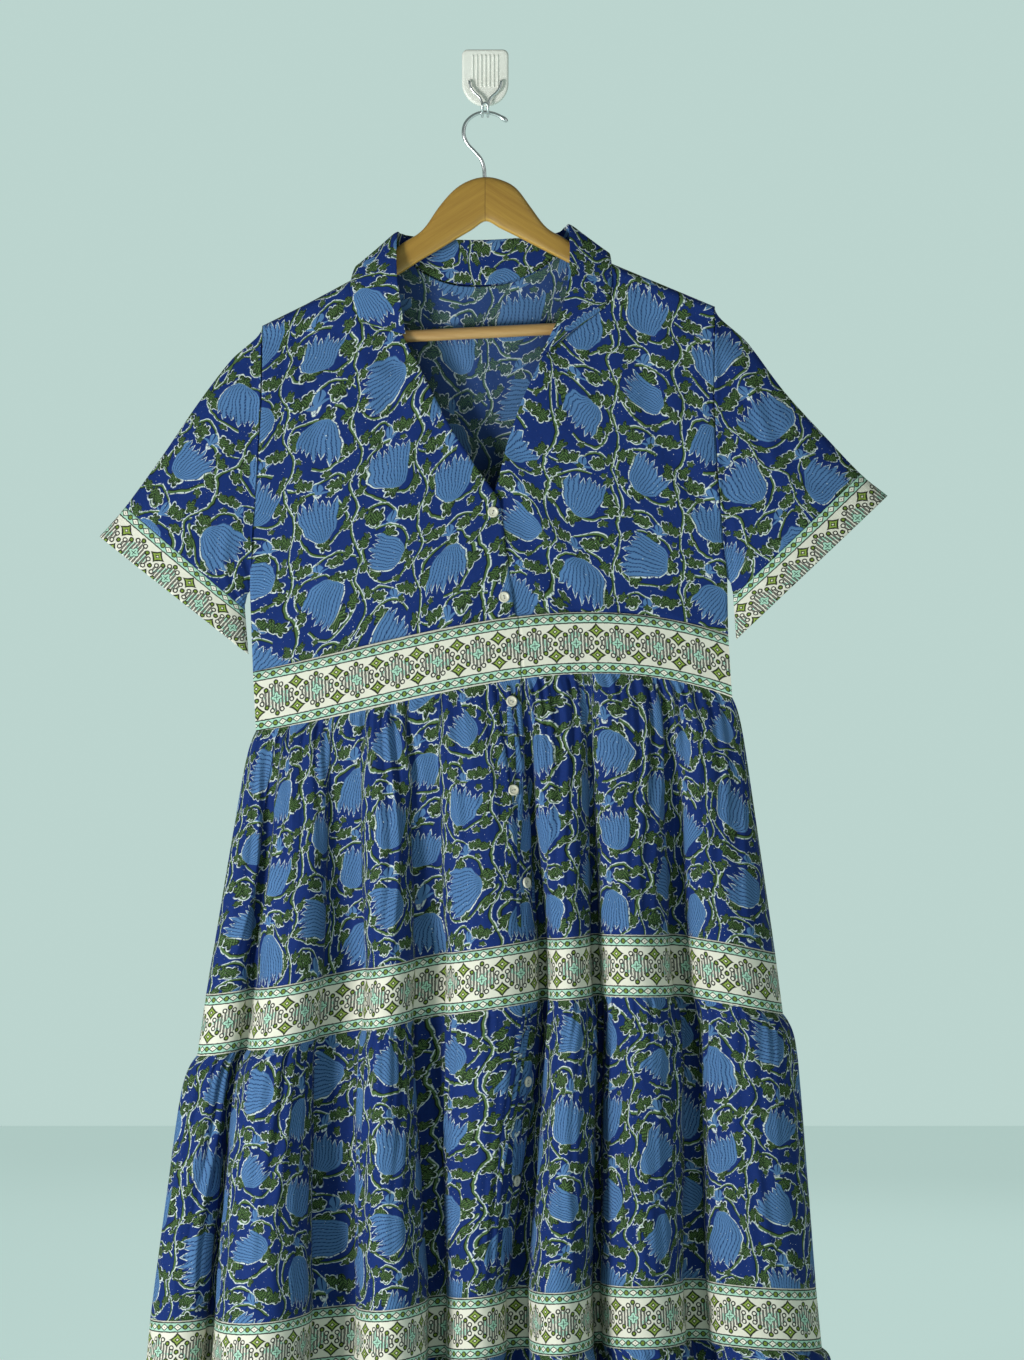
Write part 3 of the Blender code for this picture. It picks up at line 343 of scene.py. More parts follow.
def border_colour(cloth):
    """The medallion border: u along it, v from its middle line, the same above and below."""
    tree = cloth.tree
    shake = vector(noise(cloth, 0.35, 1.0, "Color"), "SUBTRACT", (0.5, 0.5, 0.5))
    u, v, _ = split(vector(cloth, "ADD", vector(shake, "MULTIPLY", (1.1, 1.1, 0.0))))
    up = abs(v)
    ink = noise(cloth, 0.9, 2.0).above(0.27, 0.06)
    cream = mix(noise(cloth, 0.05, 3.0), CREAM, tuple(0.86 * c for c in CREAM))
    colour = mix(up.near(24.7, 4.5), cream, MINT)
    lines = up.near(20.1, 0.6).high(up.near(29.5, 0.6))

    # Chain: a dot and a diamond in turn, along the middle of the mint stripe.
    dot_x, gem_x, w = u.wrapped(14.8), (u + 7.4).wrapped(14.8), up - 24.8
    dot = (dot_x * dot_x + w * w).do("SQRT")
    gem = abs(gem_x) / 4.6 + abs(w) / 3.3
    colour = mix(gem.below(0.86, 0.06), colour, CREAM)
    colour = mix(dot.below(1.9), colour, OLIVE)
    lines = lines.high(dot.near(2.3, 0.55)).high(gem.near(0.93, 0.16, 0.06)).high(gem.below(0.16, 0.06))

    # Medallion: upright bars in steps, with a dot on each step, and a four-petal flower in the middle.
    x = abs(u.wrapped(41.5))
    step = 16.0
    for place, fall in ((1.9, 3.4), (5.6, 4.0), (12.6, 4.4), (17.0, 9.0)):
        step = step - x.above(place, 0.05) * fall
    bars = abs(u.wrapped(3.45))
    inside = (up - step).below(0.0, 0.3)
    some = noise(vector(cloth, "MULTIPLY", (0.16, 0.16, 0.0)), 1.0, 0.0).above(0.56, 0.02)
    colour = mix(inside * bars.below(1.1) * some, colour, MINT)
    lines = lines.high(inside * bars.near(1.2, 0.46))
    for dot_x, dot_y, fill in (
        (0.0, 15.6, OLIVE), (5.0, 12.4, CREAM), (10.6, 8.6, OLIVE), (15.4, 4.3, CREAM), (20.75, 0.0, OLIVE),
    ):
        far = ((x - dot_x) * (x - dot_x) + (up - dot_y) * (up - dot_y)).do("SQRT")
        lines = (lines * far.above(1.75)).high(far.near(2.0, 0.62))
        colour = mix(far.below(1.75), colour, fill)
    far = (x * x + v * v).do("SQRT")
    reach = 4.4 + (x.do("ARCTAN2", v) * 4.0).do("COSINE") * 1.1
    colour = mix((far - reach).below(0.0), colour, MINT)
    cross = x.low(up).below(0.35) * far.below(3.0)
    lines = (lines * (far - reach).above(0.0)).high((far - reach).near(0.2, 0.38)).high(cross)

    # Star between two medallions, above and below: a square with hollow sides, in three rings.
    star_x, star_y = abs((u + 20.75).wrapped(41.5)), abs(up - 12.2)
    star = (star_x / 7.8).do("POWER", 0.78) + (star_y / 6.9).do("POWER", 0.78)
    colour = mix(star.below(1.0, 0.05), colour, OLIVE)
    colour = mix(star.near(0.62, 0.07, 0.05), colour, OLIVE_PALE)
    colour = mix(star.below(0.30, 0.05), colour, CREAM)
    rings = star.near(0.98, 0.13, 0.05).high(star.near(0.38, 0.09, 0.05))
    lines = (lines * star.above(1.02, 0.05)).high(rings)
    return (mix(lines * ink, colour, INK),)


BORDER_PRINT = group("border_print", (("Cloth", "Vector"),), (("Color", "Color"),), border_colour)


def cotton_feel(cloth):
    """Height of the plain weave with a slub here and there, and soft creases, in millimetres."""
    threads = 2 * math.pi / 0.42
    weave_x, weave_y, _ = split(vector(cloth, "MULTIPLY", (threads, threads, 0.0)))
    weave = (weave_x.do("SINE") * weave_y.do("SINE")) * 0.016
    slub = noise(vector(cloth, "MULTIPLY", (0.9, 0.05, 0.0)), 1.0, 2.0) * 0.05
    crease = noise(vector(cloth, "MULTIPLY", (0.055, 0.02, 0.0)), 1.0, 3.0) * 1.3
    return weave + slub + crease, noise(cloth, 0.2, 2.0)


WRONG_SIDE_BLUE = (0.07, 0.14, 0.27)
COTTON = group("cotton", (("Cloth", "Vector"),), (("Height", "Float"), ("Worn", "Float")), cotton_feel)


def add_bump(tree, shader, height, strength=0.5):
    """Relief on a material, from a height in millimetres."""
    bump = tree.nodes.new("ShaderNodeBump")
    bump.inputs["Strength"].default_value = strength
    bump.inputs["Distance"].default_value = 0.001
    plug(tree, height, bump.inputs["Height"])
    tree.links.new(bump.outputs[0], shader.inputs["Normal"])


def cloth_material(name, shared, back):
    """Cotton with a print. The wrong side is paler, because the ink shows through from the front."""
    mat = bpy.data.materials.new(name)
    mat.use_nodes = True
    tree = mat.node_tree
    shader = tree.nodes["Principled BSDF"]
    place = tree.nodes.new("ShaderNodeUVMap")
    place.uv_map = "cloth"
    cloth = vector(Wire(tree, place.outputs[0]), "MULTIPLY", (1000.0, 1000.0, 0.0))
    colour = use(shared, tree, cloth)[0]
    if back:
        plain = WRONG_SIDE_BLUE if shared is FLOWER_PRINT else CREAM
        colour = mix(noise(cloth, 0.5, 2.0) * 0.2 + 0.12, colour, plain)
    height, worn = use(COTTON, tree, cloth)
    plug(tree, colour, shader.inputs["Base Color"])
    plug(tree, worn * 0.2 + 0.68, shader.inputs["Roughness"])
    shader.inputs["Specular IOR Level"].default_value = 0.14
    shader.inputs["Sheen Weight"].default_value = 0.03
    add_bump(tree, shader, height, 0.8)
    return mat


MATERIALS = {}
for key, shared in (("flower", FLOWER_PRINT), ("border", BORDER_PRINT)):
    for back in ("", "_back"):
        MATERIALS[key + back] = cloth_material(f"{key}_cotton{back}", shared, bool(back))


def grid_mesh(name, points, looks, uv=None, flip=False):
    """A smooth mesh of quads on a grid of rows x columns x 3, with a UV map from a grid of that shape."""
    rows, columns = points.shape[:2]
    start = (np.arange(rows - 1)[:, None] * columns + np.arange(columns - 1)).ravel()
    quads = np.stack([start, start + 1, start + columns + 1, start + columns], axis=1)
    if flip:
        quads = quads[:, ::-1]
    mesh = bpy.data.meshes.new(name)
    mesh.vertices.add(rows * columns)
    mesh.vertices.foreach_set("co", points.reshape(-1).astype(np.float32))
    mesh.loops.add(quads.size)
    mesh.loops.foreach_set("vertex_index", quads.ravel().astype(np.int32))
    mesh.polygons.add(len(quads))
    mesh.polygons.foreach_set("loop_start", np.arange(0, quads.size, 4, dtype=np.int32))
    mesh.update(calc_edges=True)
    mesh.polygons.foreach_set("use_smooth", np.ones(len(quads), bool))
    if uv is not None:
        layer = mesh.uv_layers.new(name="cloth")
        layer.data.foreach_set("uv", uv.reshape(-1, 2)[quads.ravel()].astype(np.float32).ravel())
    for look in looks:
        mesh.materials.append(look)
    obj = bpy.data.objects.new(name, mesh)
    bpy.context.collection.objects.link(obj)
    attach(obj, "root")
    return obj


def cloth(node, points, uv, kind, flip, held="hung", wrong_side="_back", thick=0.0007):
    """A cloth shell for a CAD node: the grid's face outside and the wrong side one thickness behind it.

    Its flat cut is the UV map, in width and length.
    """
    obj = grid_mesh(f"{node}_cloth", points, [MATERIALS[kind], MATERIALS[kind + wrong_side]], uv, flip)
    shell = obj.modifiers.new("thickness", "SOLIDIFY")
    shell.thickness = thick
    shell.offset = -1
    shell.use_even_offset = False
    shell.material_offset = 1
    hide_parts(node)


def table(columns, *rows):
    """Named columns as arrays, from one tuple for each row."""
    return dict(zip(columns.split(), np.array(rows, float).T))


# The skirt's shape. A row for each level: side outlines, heights of the seam at the stations, how far the
# front and the back bow out, and the swell under the seam. Levels: waist seam, band 1, band 2 top and
# bottom, band 3 top and bottom, hem.
WALL = 0.0014  # thickness of the CAD walls, whose outer faces these shells follow
GAP = 0.0003
MIDDLE_Y = -0.035  # plane of the hanger and of the side seams
STATIONS = (-1.0, -0.5, 0.0, 0.35, 0.65, 1.0)
LEVELS = table(
    "left right z0 z1 z2 z3 z4 z5 front back puff",
    (-0.233, 0.244, -0.600, -0.571, -0.551, -0.537, -0.545, -0.562, 0.018, 0.016, 0.000),
    (-0.230, 0.248, -0.660, -0.634, -0.614, -0.600, -0.604, -0.626, 0.018, 0.016, 0.006),
    (-0.280, 0.291, -0.922, -0.902, -0.869, -0.862, -0.865, -0.880, 0.020, 0.014, 0.000),
    (-0.289, 0.299, -0.984, -0.964, -0.931, -0.924, -0.927, -0.942, 0.020, 0.014, 0.012),
    (-0.336, 0.332, -1.248, -1.236, -1.220, -1.208, -1.208, -1.216, 0.021, 0.012, 0.000),
    (-0.342, 0.338, -1.310, -1.298, -1.282, -1.270, -1.270, -1.278, 0.021, 0.012, 0.010),
    (-0.362, 0.352, -1.405, -1.395, -1.382, -1.372, -1.372, -1.380, 0.021, 0.012, 0.000),
)
SEAM_HEIGHTS = np.stack([LEVELS[f"z{i}"] for i in range(len(STATIONS))], axis=1)
SEAM_CURVES = [np.polyfit(STATIONS, heights, 3) for heights in SEAM_HEIGHTS]

# Folds from the left side seam to the right one: right edge as a share of the half width at three
# levels, and depth at two. A minus depth is a valley. The sixth row ends at the front edge.
FRONT_FOLDS = table(
    "waist band2 hem depth2 depth_hem",
    (-0.895, -0.853, -0.827, 0.020, 0.030), (-0.862, -0.825, -0.803, -0.004, -0.010),
    (-0.665, -0.584, -0.510, 0.045, 0.085), (-0.540, -0.437, -0.381, -0.005, -0.006),
    (-0.351, -0.262, -0.163, 0.042, 0.082), (-0.226, -0.154, -0.109, -0.004, -0.005),
    (0.113, 0.168, 0.070, 0.045, 0.050), (0.130, 0.196, 0.136, -0.003, -0.008),
    (0.372, 0.350, 0.327, 0.045, 0.078), (0.397, 0.378, 0.351, -0.003, -0.006),
    (0.682, 0.626, 0.599, 0.045, 0.062), (0.736, 0.690, 0.668, -0.006, -0.008),
    (1.000, 1.000, 1.000, 0.040, 0.055),
)
BACK_FOLDS = table(
    "waist band2 hem depth2 depth_hem",
    (-0.640, -0.620, -0.640, 0.014, 0.016), (-0.560, -0.540, -0.560, -0.003, -0.004),
    (-0.150, -0.180, -0.120, 0.012, 0.015), (-0.070, -0.100, -0.040, -0.003, -0.004),
    (0.330, 0.300, 0.360, 0.013, 0.015), (0.400, 0.370, 0.440, -0.003, -0.004),
    (1.000, 1.000, 1.000, 0.014, 0.016),
)
FRONT_EDGE = 7.0  # fold number at which the left front ends, on top of the right one
LAP_START = 6.625  # fold number at which the right front begins, under the left one


def grid_normals(points, way):
    """Unit vectors across a grid's surface: cross product of its slopes along rows and columns."""
    across = np.cross(np.gradient(points, axis=0), np.gradient(points, axis=1)) * way
    return across / np.maximum(np.linalg.norm(across, axis=-1), 1e-12)[..., None]


def arc(points, axis):
    """Lengths walked along a grid's rows (axis 1) or columns (axis 0), from 0 at its first point."""
    steps = np.linalg.norm(np.diff(points, axis=axis), axis=-1)
    start = np.zeros_like(np.take(steps, [0], axis))
    return np.concatenate([start, np.cumsum(steps, axis=axis)], axis=axis)


def level_mix(stops, v):
    """Straight mix between the values at the two levels that v lies between."""
    k = np.clip(np.floor(v).astype(int), 0, 5)
    stops = np.stack(np.broadcast_arrays(*stops))
    low = np.take_along_axis(stops, k[None], 0)[0]
    high = np.take_along_axis(stops, k[None] + 1, 0)[0]
    return low + (high - low) * (v - k)


def skirt_surface(folds, s, v, front):
    """Points of the skirt at fold number s and level v.

    across = low + (high - low) (1 - cos(pi t)) / 2 within a fold, t from 0 to 1
    out = edge + bow (1 - across^2)^roundness + 0.4 swell sqrt(1 - across^2) + depth sin(pi t)
    """
    i = np.clip(np.floor(s).astype(int), 0, len(folds["waist"]) - 1)
    t = s - i
    edges = {name: np.concatenate([[-1.0], folds[name]]) for name in ("waist", "band2", "hem")}
    order = ("waist", "waist", "band2", "band2", "hem", "hem", "hem")
    low, high = (level_mix([edges[name][j] for name in order], v) for j in (i, i + 1))
    across = low + (high - low) * (1 - np.cos(math.pi * t)) / 2
    two, hem = folds["depth2"][i], folds["depth_hem"][i]
    depth = level_mix([0 * two, 0 * two, two, two, 0.92 * hem, 0.94 * hem, hem], v)
    k = np.clip(np.floor(v).astype(int), 0, 5)
    share = v - k
    swell = LEVELS["puff"][k] * (1 - np.exp(-share / 0.06)) * (1 - share)
    levels = np.arange(7.0)
    left = np.interp(v, levels, LEVELS["left"]) - swell
    right = np.interp(v, levels, LEVELS["right"]) + swell
    room = np.clip(1 - across**2, 0, 1)
    roundness = np.interp(v, [0, 1, 1.5, 6], [1.0, 1.0, 0.5, 0.5])
    edge = np.interp(v, [0, 1, 1.08, 6], [WALL + GAP / 2, WALL + GAP / 2, GAP / 2, GAP / 2])
    bow = np.interp(v, levels, LEVELS["front" if front else "back"])
    out = edge + bow * room**roundness + 0.4 * swell * np.sqrt(room) + depth * np.sin(math.pi * t)
    heights = np.stack([np.polyval(curve, across) for curve in SEAM_CURVES])
    z_high = np.take_along_axis(heights, k[None], 0)[0]
    z_low = np.take_along_axis(heights, k[None] + 1, 0)[0]
    x = (left + right) / 2 + across * (right - left) / 2
    z = z_high + (z_low - z_high) * share
    return np.stack([x, MIDDLE_Y - out if front else MIDDLE_Y + out, z], axis=-1)


def fold_steps(first, last, pipe, valley):
    """Grid columns from one fold edge to another, more of them in a pipe (even) than in a valley (odd)."""
    stops = [np.array([first])]
    at = first
    while at < last - 1e-6:
        end = min(math.floor(at + 1e-6) + 1, last)
        count = max(3, round((pipe if math.floor(at + 1e-6) % 2 == 0 else valley) * (end - at)))
        stops.append(np.linspace(at, end, count + 1)[1:])
        at = end
    return np.concatenate(stops)


# Gathers. Just under a seam they are fine; they join into soft folds that fade down the tier.
FINE_PITCH, FINE_HEIGHT, FINE_START, FINE_FADE = 0.0095, 0.0026, 0.009, 0.050
SOFT_PITCH, SOFT_HEIGHT, SOFT_START, SOFT_FADE = 0.031, 0.0032, 0.025, 0.34
CREASE_PITCH, CREASE_DEPTH, CREASE_START, CREASE_FADE = 0.026, 0.0028, 0.006, 0.22
SEAM_CALM, EDGE_CALM = 0.02, 0.03  # the gathers end this far above the lower seam and from the edges


def wander(x, pitch, seed):
    """An irregular wave from -1 to 1: three sines, each about a pitch long, that share no period."""
    parts = [np.sin(2 * np.pi * x / (pitch * k) + seed * (3.1 + k)) for k in (0.79, 1.0, 1.37)]
    return sum(parts) / 3


def gathered(points, side, seed, way):
    """A tier's grid with its gathers: rise along the normal, none at the lower seam.

    fine = height wander(w / pitch) exp(-drop / fade) min(1, 0.2 + drop / 9 mm)
    soft = height (1.35 - 1.9 |wander(w / pitch)|^0.75) (1 - exp(-drop / 25 mm)) exp(-drop / fade)
    creases = -depth exp(-(wander(w / pitch) / 0.3)^2) exp(-drop / fade), narrow and sharp
    """
    width = arc(points, 1)[:1] * np.ones(points.shape[:2])
    drop = arc(points, 0)
    left = drop[-1:] - drop
    lean = width + 0.006 * np.sin(drop * 19 + seed)
    fine = FINE_HEIGHT * wander(lean, FINE_PITCH, seed) * np.exp(-drop / FINE_FADE)
    fine *= np.minimum(1, 0.2 + drop / FINE_START)
    folds = 1.35 - 1.9 * np.abs(wander(lean, SOFT_PITCH, seed + 4.0)) ** 0.75
    soft = SOFT_HEIGHT * folds * (1 - np.exp(-drop / SOFT_START)) * np.exp(-drop / SOFT_FADE)
    sharp = np.exp(-(wander(lean + 0.02 * drop, CREASE_PITCH, seed + 9.0) / 0.3) ** 2)
    creases = -CREASE_DEPTH * sharp * np.minimum(1, drop / CREASE_START) * np.exp(-drop / CREASE_FADE)
    rise = (fine + soft + creases) * np.clip(left / SEAM_CALM, 0, 1) * np.clip(side / EDGE_CALM, 0, 1)
    return points + grid_normals(points, way) * rise[..., None]


STRIPS = (
    # name, upper level, rows, gathered
    ("waist_band", 0, 9, False), ("tier_1", 1, 64, True), ("band_2", 2, 9, False),
    ("tier_2", 3, 72, True), ("band_3", 4, 9, False), ("tier_3", 5, 26, True),
)
PANELS = (
    # name, front, first fold, last fold, columns of a pipe and of a valley, the wander's seed
    ("front_left", True, 0.0, FRONT_EDGE, 50, 14, 1.0),
    ("front_right", True, LAP_START, 13.0, 50, 14, 2.6),
    ("back", False, 0.0, 7.0, 50, 12, 5.2),
)
for strip, level, rows, is_tier in STRIPS:
    for panel, front, first, last, pipe, valley, seed in PANELS:
        name = f"{strip}_{panel}"
        folds = FRONT_FOLDS if front else BACK_FOLDS
        share = np.linspace(0, 1, rows) ** (1.35 if is_tier else 1)
        s, v = np.meshgrid(fold_steps(first, last, pipe, valley), level + share)
        points = skirt_surface(folds, s, v, front)
        way = 1 if front else -1
        if panel == "front_right":
            under = (WALL + GAP) * np.clip(1 - (s - FRONT_EDGE), 0, 1)
            points = points - grid_normals(points, way) * under[..., None]
        seams = arc(points, 1)
        edge = seams if panel != "front_right" else seams[:, -1:] - seams
        if panel == "back":
            edge = np.minimum(seams, seams[:, -1:] - seams)
        if is_tier:
            points = gathered(points, edge, seed + level, way)
        width = arc(points, 1)[-1 if is_tier else rows // 2]
        drop = arc(points, 0)
        width = width - width[-1] if panel == "front_left" else width
        height = -drop if is_tier else drop[-1:] / 2 - drop
        uv = np.stack([np.broadcast_to(width, s.shape), height], axis=-1)
        cloth(name, points, uv, "flower" if is_tier else "border", front, "gathered" if is_tier else "hung")


# Bodice: two fronts and a back of the same printed cotton, cut straight, sewn at the shoulders and
# sides and joined to the waist band. It hangs from the hanger's arms. Outlines run from the shoulder
# down to the waist seam, as on the CAD panels.
SHOULDER_LEFT = table("x z", (-0.223, -0.2522), (-0.180, -0.231), (-0.135, -0.207), (-0.092, -0.172))
SHOULDER_RIGHT = table("x z", (0.088, -0.164), (0.127, -0.190), (0.170, -0.208), (0.230, -0.233))
SIDE_LEFT = table(
    "z x",
    (-0.601, -0.2330), (-0.518, -0.2360), (-0.468, -0.2345), (-0.398, -0.2280), (-0.328, -0.2240),
    (-0.250, -0.2230),
)
SIDE_RIGHT = table(
    "z x",
    (-0.563, 0.2440), (-0.505, 0.2430), (-0.488, 0.2410), (-0.408, 0.2330), (-0.328, 0.2290),
    (-0.231, 0.2300),
)
EDGE_LEFT = table(
    "z x",
    (-0.560, 0.0330), (-0.528, 0.0280), (-0.428, 0.0150), (-0.393, -0.0100), (-0.353, -0.0350),
    (-0.300, -0.0600), (-0.259, -0.0820), (-0.215, -0.0940), (-0.172, -0.0920),
)
EDGE_RIGHT = table(
    "z x",
    (-0.560, 0.0100), (-0.528, 0.0050), (-0.440, -0.0040), (-0.413, 0.0120), (-0.373, 0.0210),
    (-0.328, 0.0350), (-0.281, 0.0550), (-0.246, 0.0760), (-0.215, 0.0860), (-0.164, 0.0880),
)
NECK_DIP = -0.212
UNDERARM = {"left": -0.518, "right": -0.505}
TIP = {"left": -0.250, "right": -0.231}
ARM_ROOM, ROLL, HANGER_ROOM, BUST_ROOM = 0.0115, 0.008, 0.0085, 0.0165
TIP_ROOM, TIP_SHARE = 0.92 * HANGER_ROOM, 0.15  # over the hanger's end, and how far down the armhole
BUST_DROP = 0.2  # depth below the shoulder at which the bust is full
FAN_HEIGHT, LONG_HEIGHT = 0.0017, 0.0016
BODY_MIDDLE, BODY_HALF = 0.005, 0.236
BODICE_ROWS = np.concatenate([np.linspace(0, 0.03, 9)[:-1], np.linspace(0.03, 1, 60)])


def seam_height(x):
    """Height of the waist seam from the place across the dress."""
    left, right = LEVELS["left"][0], LEVELS["right"][0]
    share = np.clip((2 * x - left - right) / (right - left), -1, 1)
    return np.polyval(SEAM_CURVES[0], share)


def arm_share(z, tip, underarm):
    """Share of the armhole's height below the shoulder tip."""
    return (tip - z) / (tip - underarm)


def half_thickness(x, z, below):
    """Distance of the cloth's outer face from the hanger's plane, at a depth below the shoulder line.

    It rolls over the arm as a quarter circle, then widens to the bust: middle - (middle - edge) share^2.
    """
    t = np.clip(below / ROLL, 0, 1)
    fall = np.clip(below / BUST_DROP, 0, 1)
    middle = HANGER_ROOM + (BUST_ROOM - HANGER_ROOM) * fall * fall * (3 - 2 * fall)
    share = np.clip((x - BODY_MIDDLE) / BODY_HALF, -1, 1)
    left, right = (arm_share(z, TIP[side], UNDERARM[side]) for side in ("left", "right"))
    arm = np.where(share < 0, left, right)
    tip = np.clip(1 - arm / TIP_SHARE, 0, 1)
    arm = np.clip(arm, 0, 1)
    edge = np.maximum(ARM_ROOM * 2 * np.sqrt(arm * (1 - arm)), TIP_ROOM * tip)
    return WALL + GAP / 2 + np.sqrt(t * (2 - t)) * (edge + (middle - edge).clip(0) * (1 - share**2))


def bodice_rows(near_edge, far_edge, top_x, top_z):
    """Plan of a panel: columns from the top line to the waist seam, rows between two side curves."""
    u = (top_x - top_x[0]) / (top_x[-1] - top_x[0])
    w = BODICE_ROWS[:, None]
    foot_x = [np.interp(low, edge["z"], edge["x"]) for edge, low in (near_edge, far_edge)]
    z = top_z * (1 - w) + seam_height(foot_x[0] + (foot_x[1] - foot_x[0]) * u) * w
    near = np.interp(z[:, :1], near_edge[0]["z"], near_edge[0]["x"])
    far = np.interp(z[:, -1:], far_edge[0]["z"], far_edge[0]["x"])
    return near + (far - near) * u, z


def bodice_creases(x, z, seed):
    """Soft creases of a hanging bodice: a fan of shallow waves from each end of the hanger, by the angle
    from straight down, and long waves down the panel, none of them near the seams."""
    tip = np.stack([x - np.where(x < 0, -0.20, 0.20), z + 0.235])
    angle = np.arctan2(tip[0], -tip[1])
    far = np.hypot(*tip)
    fan = FAN_HEIGHT * wander(angle * 0.16, 0.045, seed) * np.clip(far / 0.1, 0, 1) * np.exp(-far / 0.25)
    long = LONG_HEIGHT * wander(x + 0.08 * np.sin(z * 9 + seed), 0.050, seed + 2)
    return (fan + long) * np.clip((z + 0.60) / 0.05, 0, 1) * np.clip((-0.20 - z) / 0.06, 0, 1)


def bodice_cloth(name, x, z, line_z, front, seed, lap=0.0):
    """A panel at the half thickness and its creases; v of its UV map is the length down from the line."""
    out = half_thickness(x, z, line_z - z) - lap + bodice_creases(x, z, seed)
    points = np.stack([x, MIDDLE_Y - out if front else MIDDLE_Y + out, z], axis=-1)
    points[-1, :, 2] = seam_height(x[-1]) + GAP / 2
    drop = arc(points, 0)
    uv = np.stack([x, z[:1] * 0.4 - drop], axis=-1)
    cloth(name, points, uv, "flower", front)


top_x = np.linspace(SHOULDER_LEFT["x"][-1], SHOULDER_LEFT["x"][0], 72)
top_z = np.interp(top_x, SHOULDER_LEFT["x"], SHOULDER_LEFT["z"])
x, z = bodice_rows((EDGE_LEFT, -0.56), (SIDE_LEFT, -0.56), top_x, top_z)
lean = (1 - BODICE_ROWS[:, None]) ** 6
x = x * (1 - lean) + top_x * lean
bodice_cloth("bodice_front_left", x[:, ::-1], z[:, ::-1], top_z[::-1], True, 1.3)

top_x = np.linspace(SHOULDER_RIGHT["x"][0], SHOULDER_RIGHT["x"][-1], 72)
top_z = np.interp(top_x, SHOULDER_RIGHT["x"], SHOULDER_RIGHT["z"])
x, z = bodice_rows((EDGE_RIGHT, -0.56), (SIDE_RIGHT, -0.56), top_x, top_z)
x = x * (1 - lean) + top_x * lean
under = (WALL + GAP) * np.clip(1.15 + (np.interp(z, EDGE_LEFT["z"], EDGE_LEFT["x"]) - x) / 0.03, 0, 1)
bodice_cloth("bodice_front_right", x, z, top_z, True, 4.1, under)

# The back runs from shoulder tip to shoulder tip, and dips in an arc at the neck:
# depth = (1 - |2 share - 1|^2.5) times its depth at the middle.
ends = SHOULDER_LEFT["x"][-1], SHOULDER_RIGHT["x"][0]
top_x = np.concatenate([
    np.linspace(SHOULDER_LEFT["x"][0], ends[0], 40),
    np.linspace(ends[0] + 0.002, ends[1] - 0.002, 60),
    np.linspace(ends[1], SHOULDER_RIGHT["x"][-1], 40),
])
share = np.clip((top_x - ends[0]) / (ends[1] - ends[0]), 0, 1)
neck = (share > 0) & (share < 1)
tops = [np.interp(top_x, line["x"], line["z"]) for line in (SHOULDER_LEFT, SHOULDER_RIGHT)]
straight = SHOULDER_LEFT["z"][-1] * (1 - share) + SHOULDER_RIGHT["z"][0] * share
line_z = np.where(neck, straight, np.where(share <= 0, *tops))
middle_z = (SHOULDER_LEFT["z"][-1] + SHOULDER_RIGHT["z"][0]) / 2
dip = (1 - np.abs(2 * share - 1) ** 2.5) * (middle_z - NECK_DIP)
x, z = bodice_rows((SIDE_LEFT, -0.60), (SIDE_RIGHT, -0.56), top_x, line_z - np.where(neck, dip, 0))
bodice_cloth("bodice_back", x, z, line_z + np.where(neck, 2 * ROLL, 0), False, 7.7)


# Sleeves: printed tubes set into the armholes, each finished with a band of bordered cloth, and hanging
# flat. A row for each station from the armhole out: fold on top, fold at the underarm, half thickness.
def smooth(x, places, values):
    """A smooth curve through the given values: cubic between places, with slopes from the neighbours."""
    places, values = np.asarray(places, float), np.asarray(values, float)
    slopes = np.gradient(values, places)
    i = np.clip(np.searchsorted(places, x) - 1, 0, len(places) - 2)
    width = places[i + 1] - places[i]
    t = np.clip((x - places[i]) / width, 0, 1)
    ease = t * t * (3 - 2 * t)
    bend = t * (1 - t) * ((1 - t) * slopes[i] - t * slopes[i + 1]) * width
    return values[i] * (1 - ease) + values[i + 1] * ease + bend


SLEEVES = (
    ("left", -1, table(
        "top_x top_z low_x low_z room",
        (-0.2230, -0.2522, -0.2360, -0.518, 0.0130), (-0.2560, -0.288, -0.2385, -0.522, 0.0145),
        (-0.2880, -0.330, -0.2395, -0.526, 0.0160), (-0.3240, -0.383, -0.2405, -0.531, 0.0165),
        (-0.3610, -0.434, -0.2410, -0.537, 0.0170), (-0.3870, -0.464, -0.2375, -0.582, 0.0180),
    ), SIDE_LEFT),
    ("right", 1, table(
        "top_x top_z low_x low_z room",
        (0.2300, -0.233, 0.2430, -0.505, 0.0130), (0.2640, -0.270, 0.2455, -0.509, 0.0145),
        (0.3000, -0.318, 0.2470, -0.513, 0.0160), (0.3390, -0.361, 0.2480, -0.518, 0.0165),
        (0.3770, -0.401, 0.2490, -0.524, 0.0170), (0.4040, -0.423, 0.2520, -0.567, 0.0180),
    ), SIDE_RIGHT),
)
ARMHOLE_DIP, DRAPE_HEIGHT = 0.0022, 0.0013
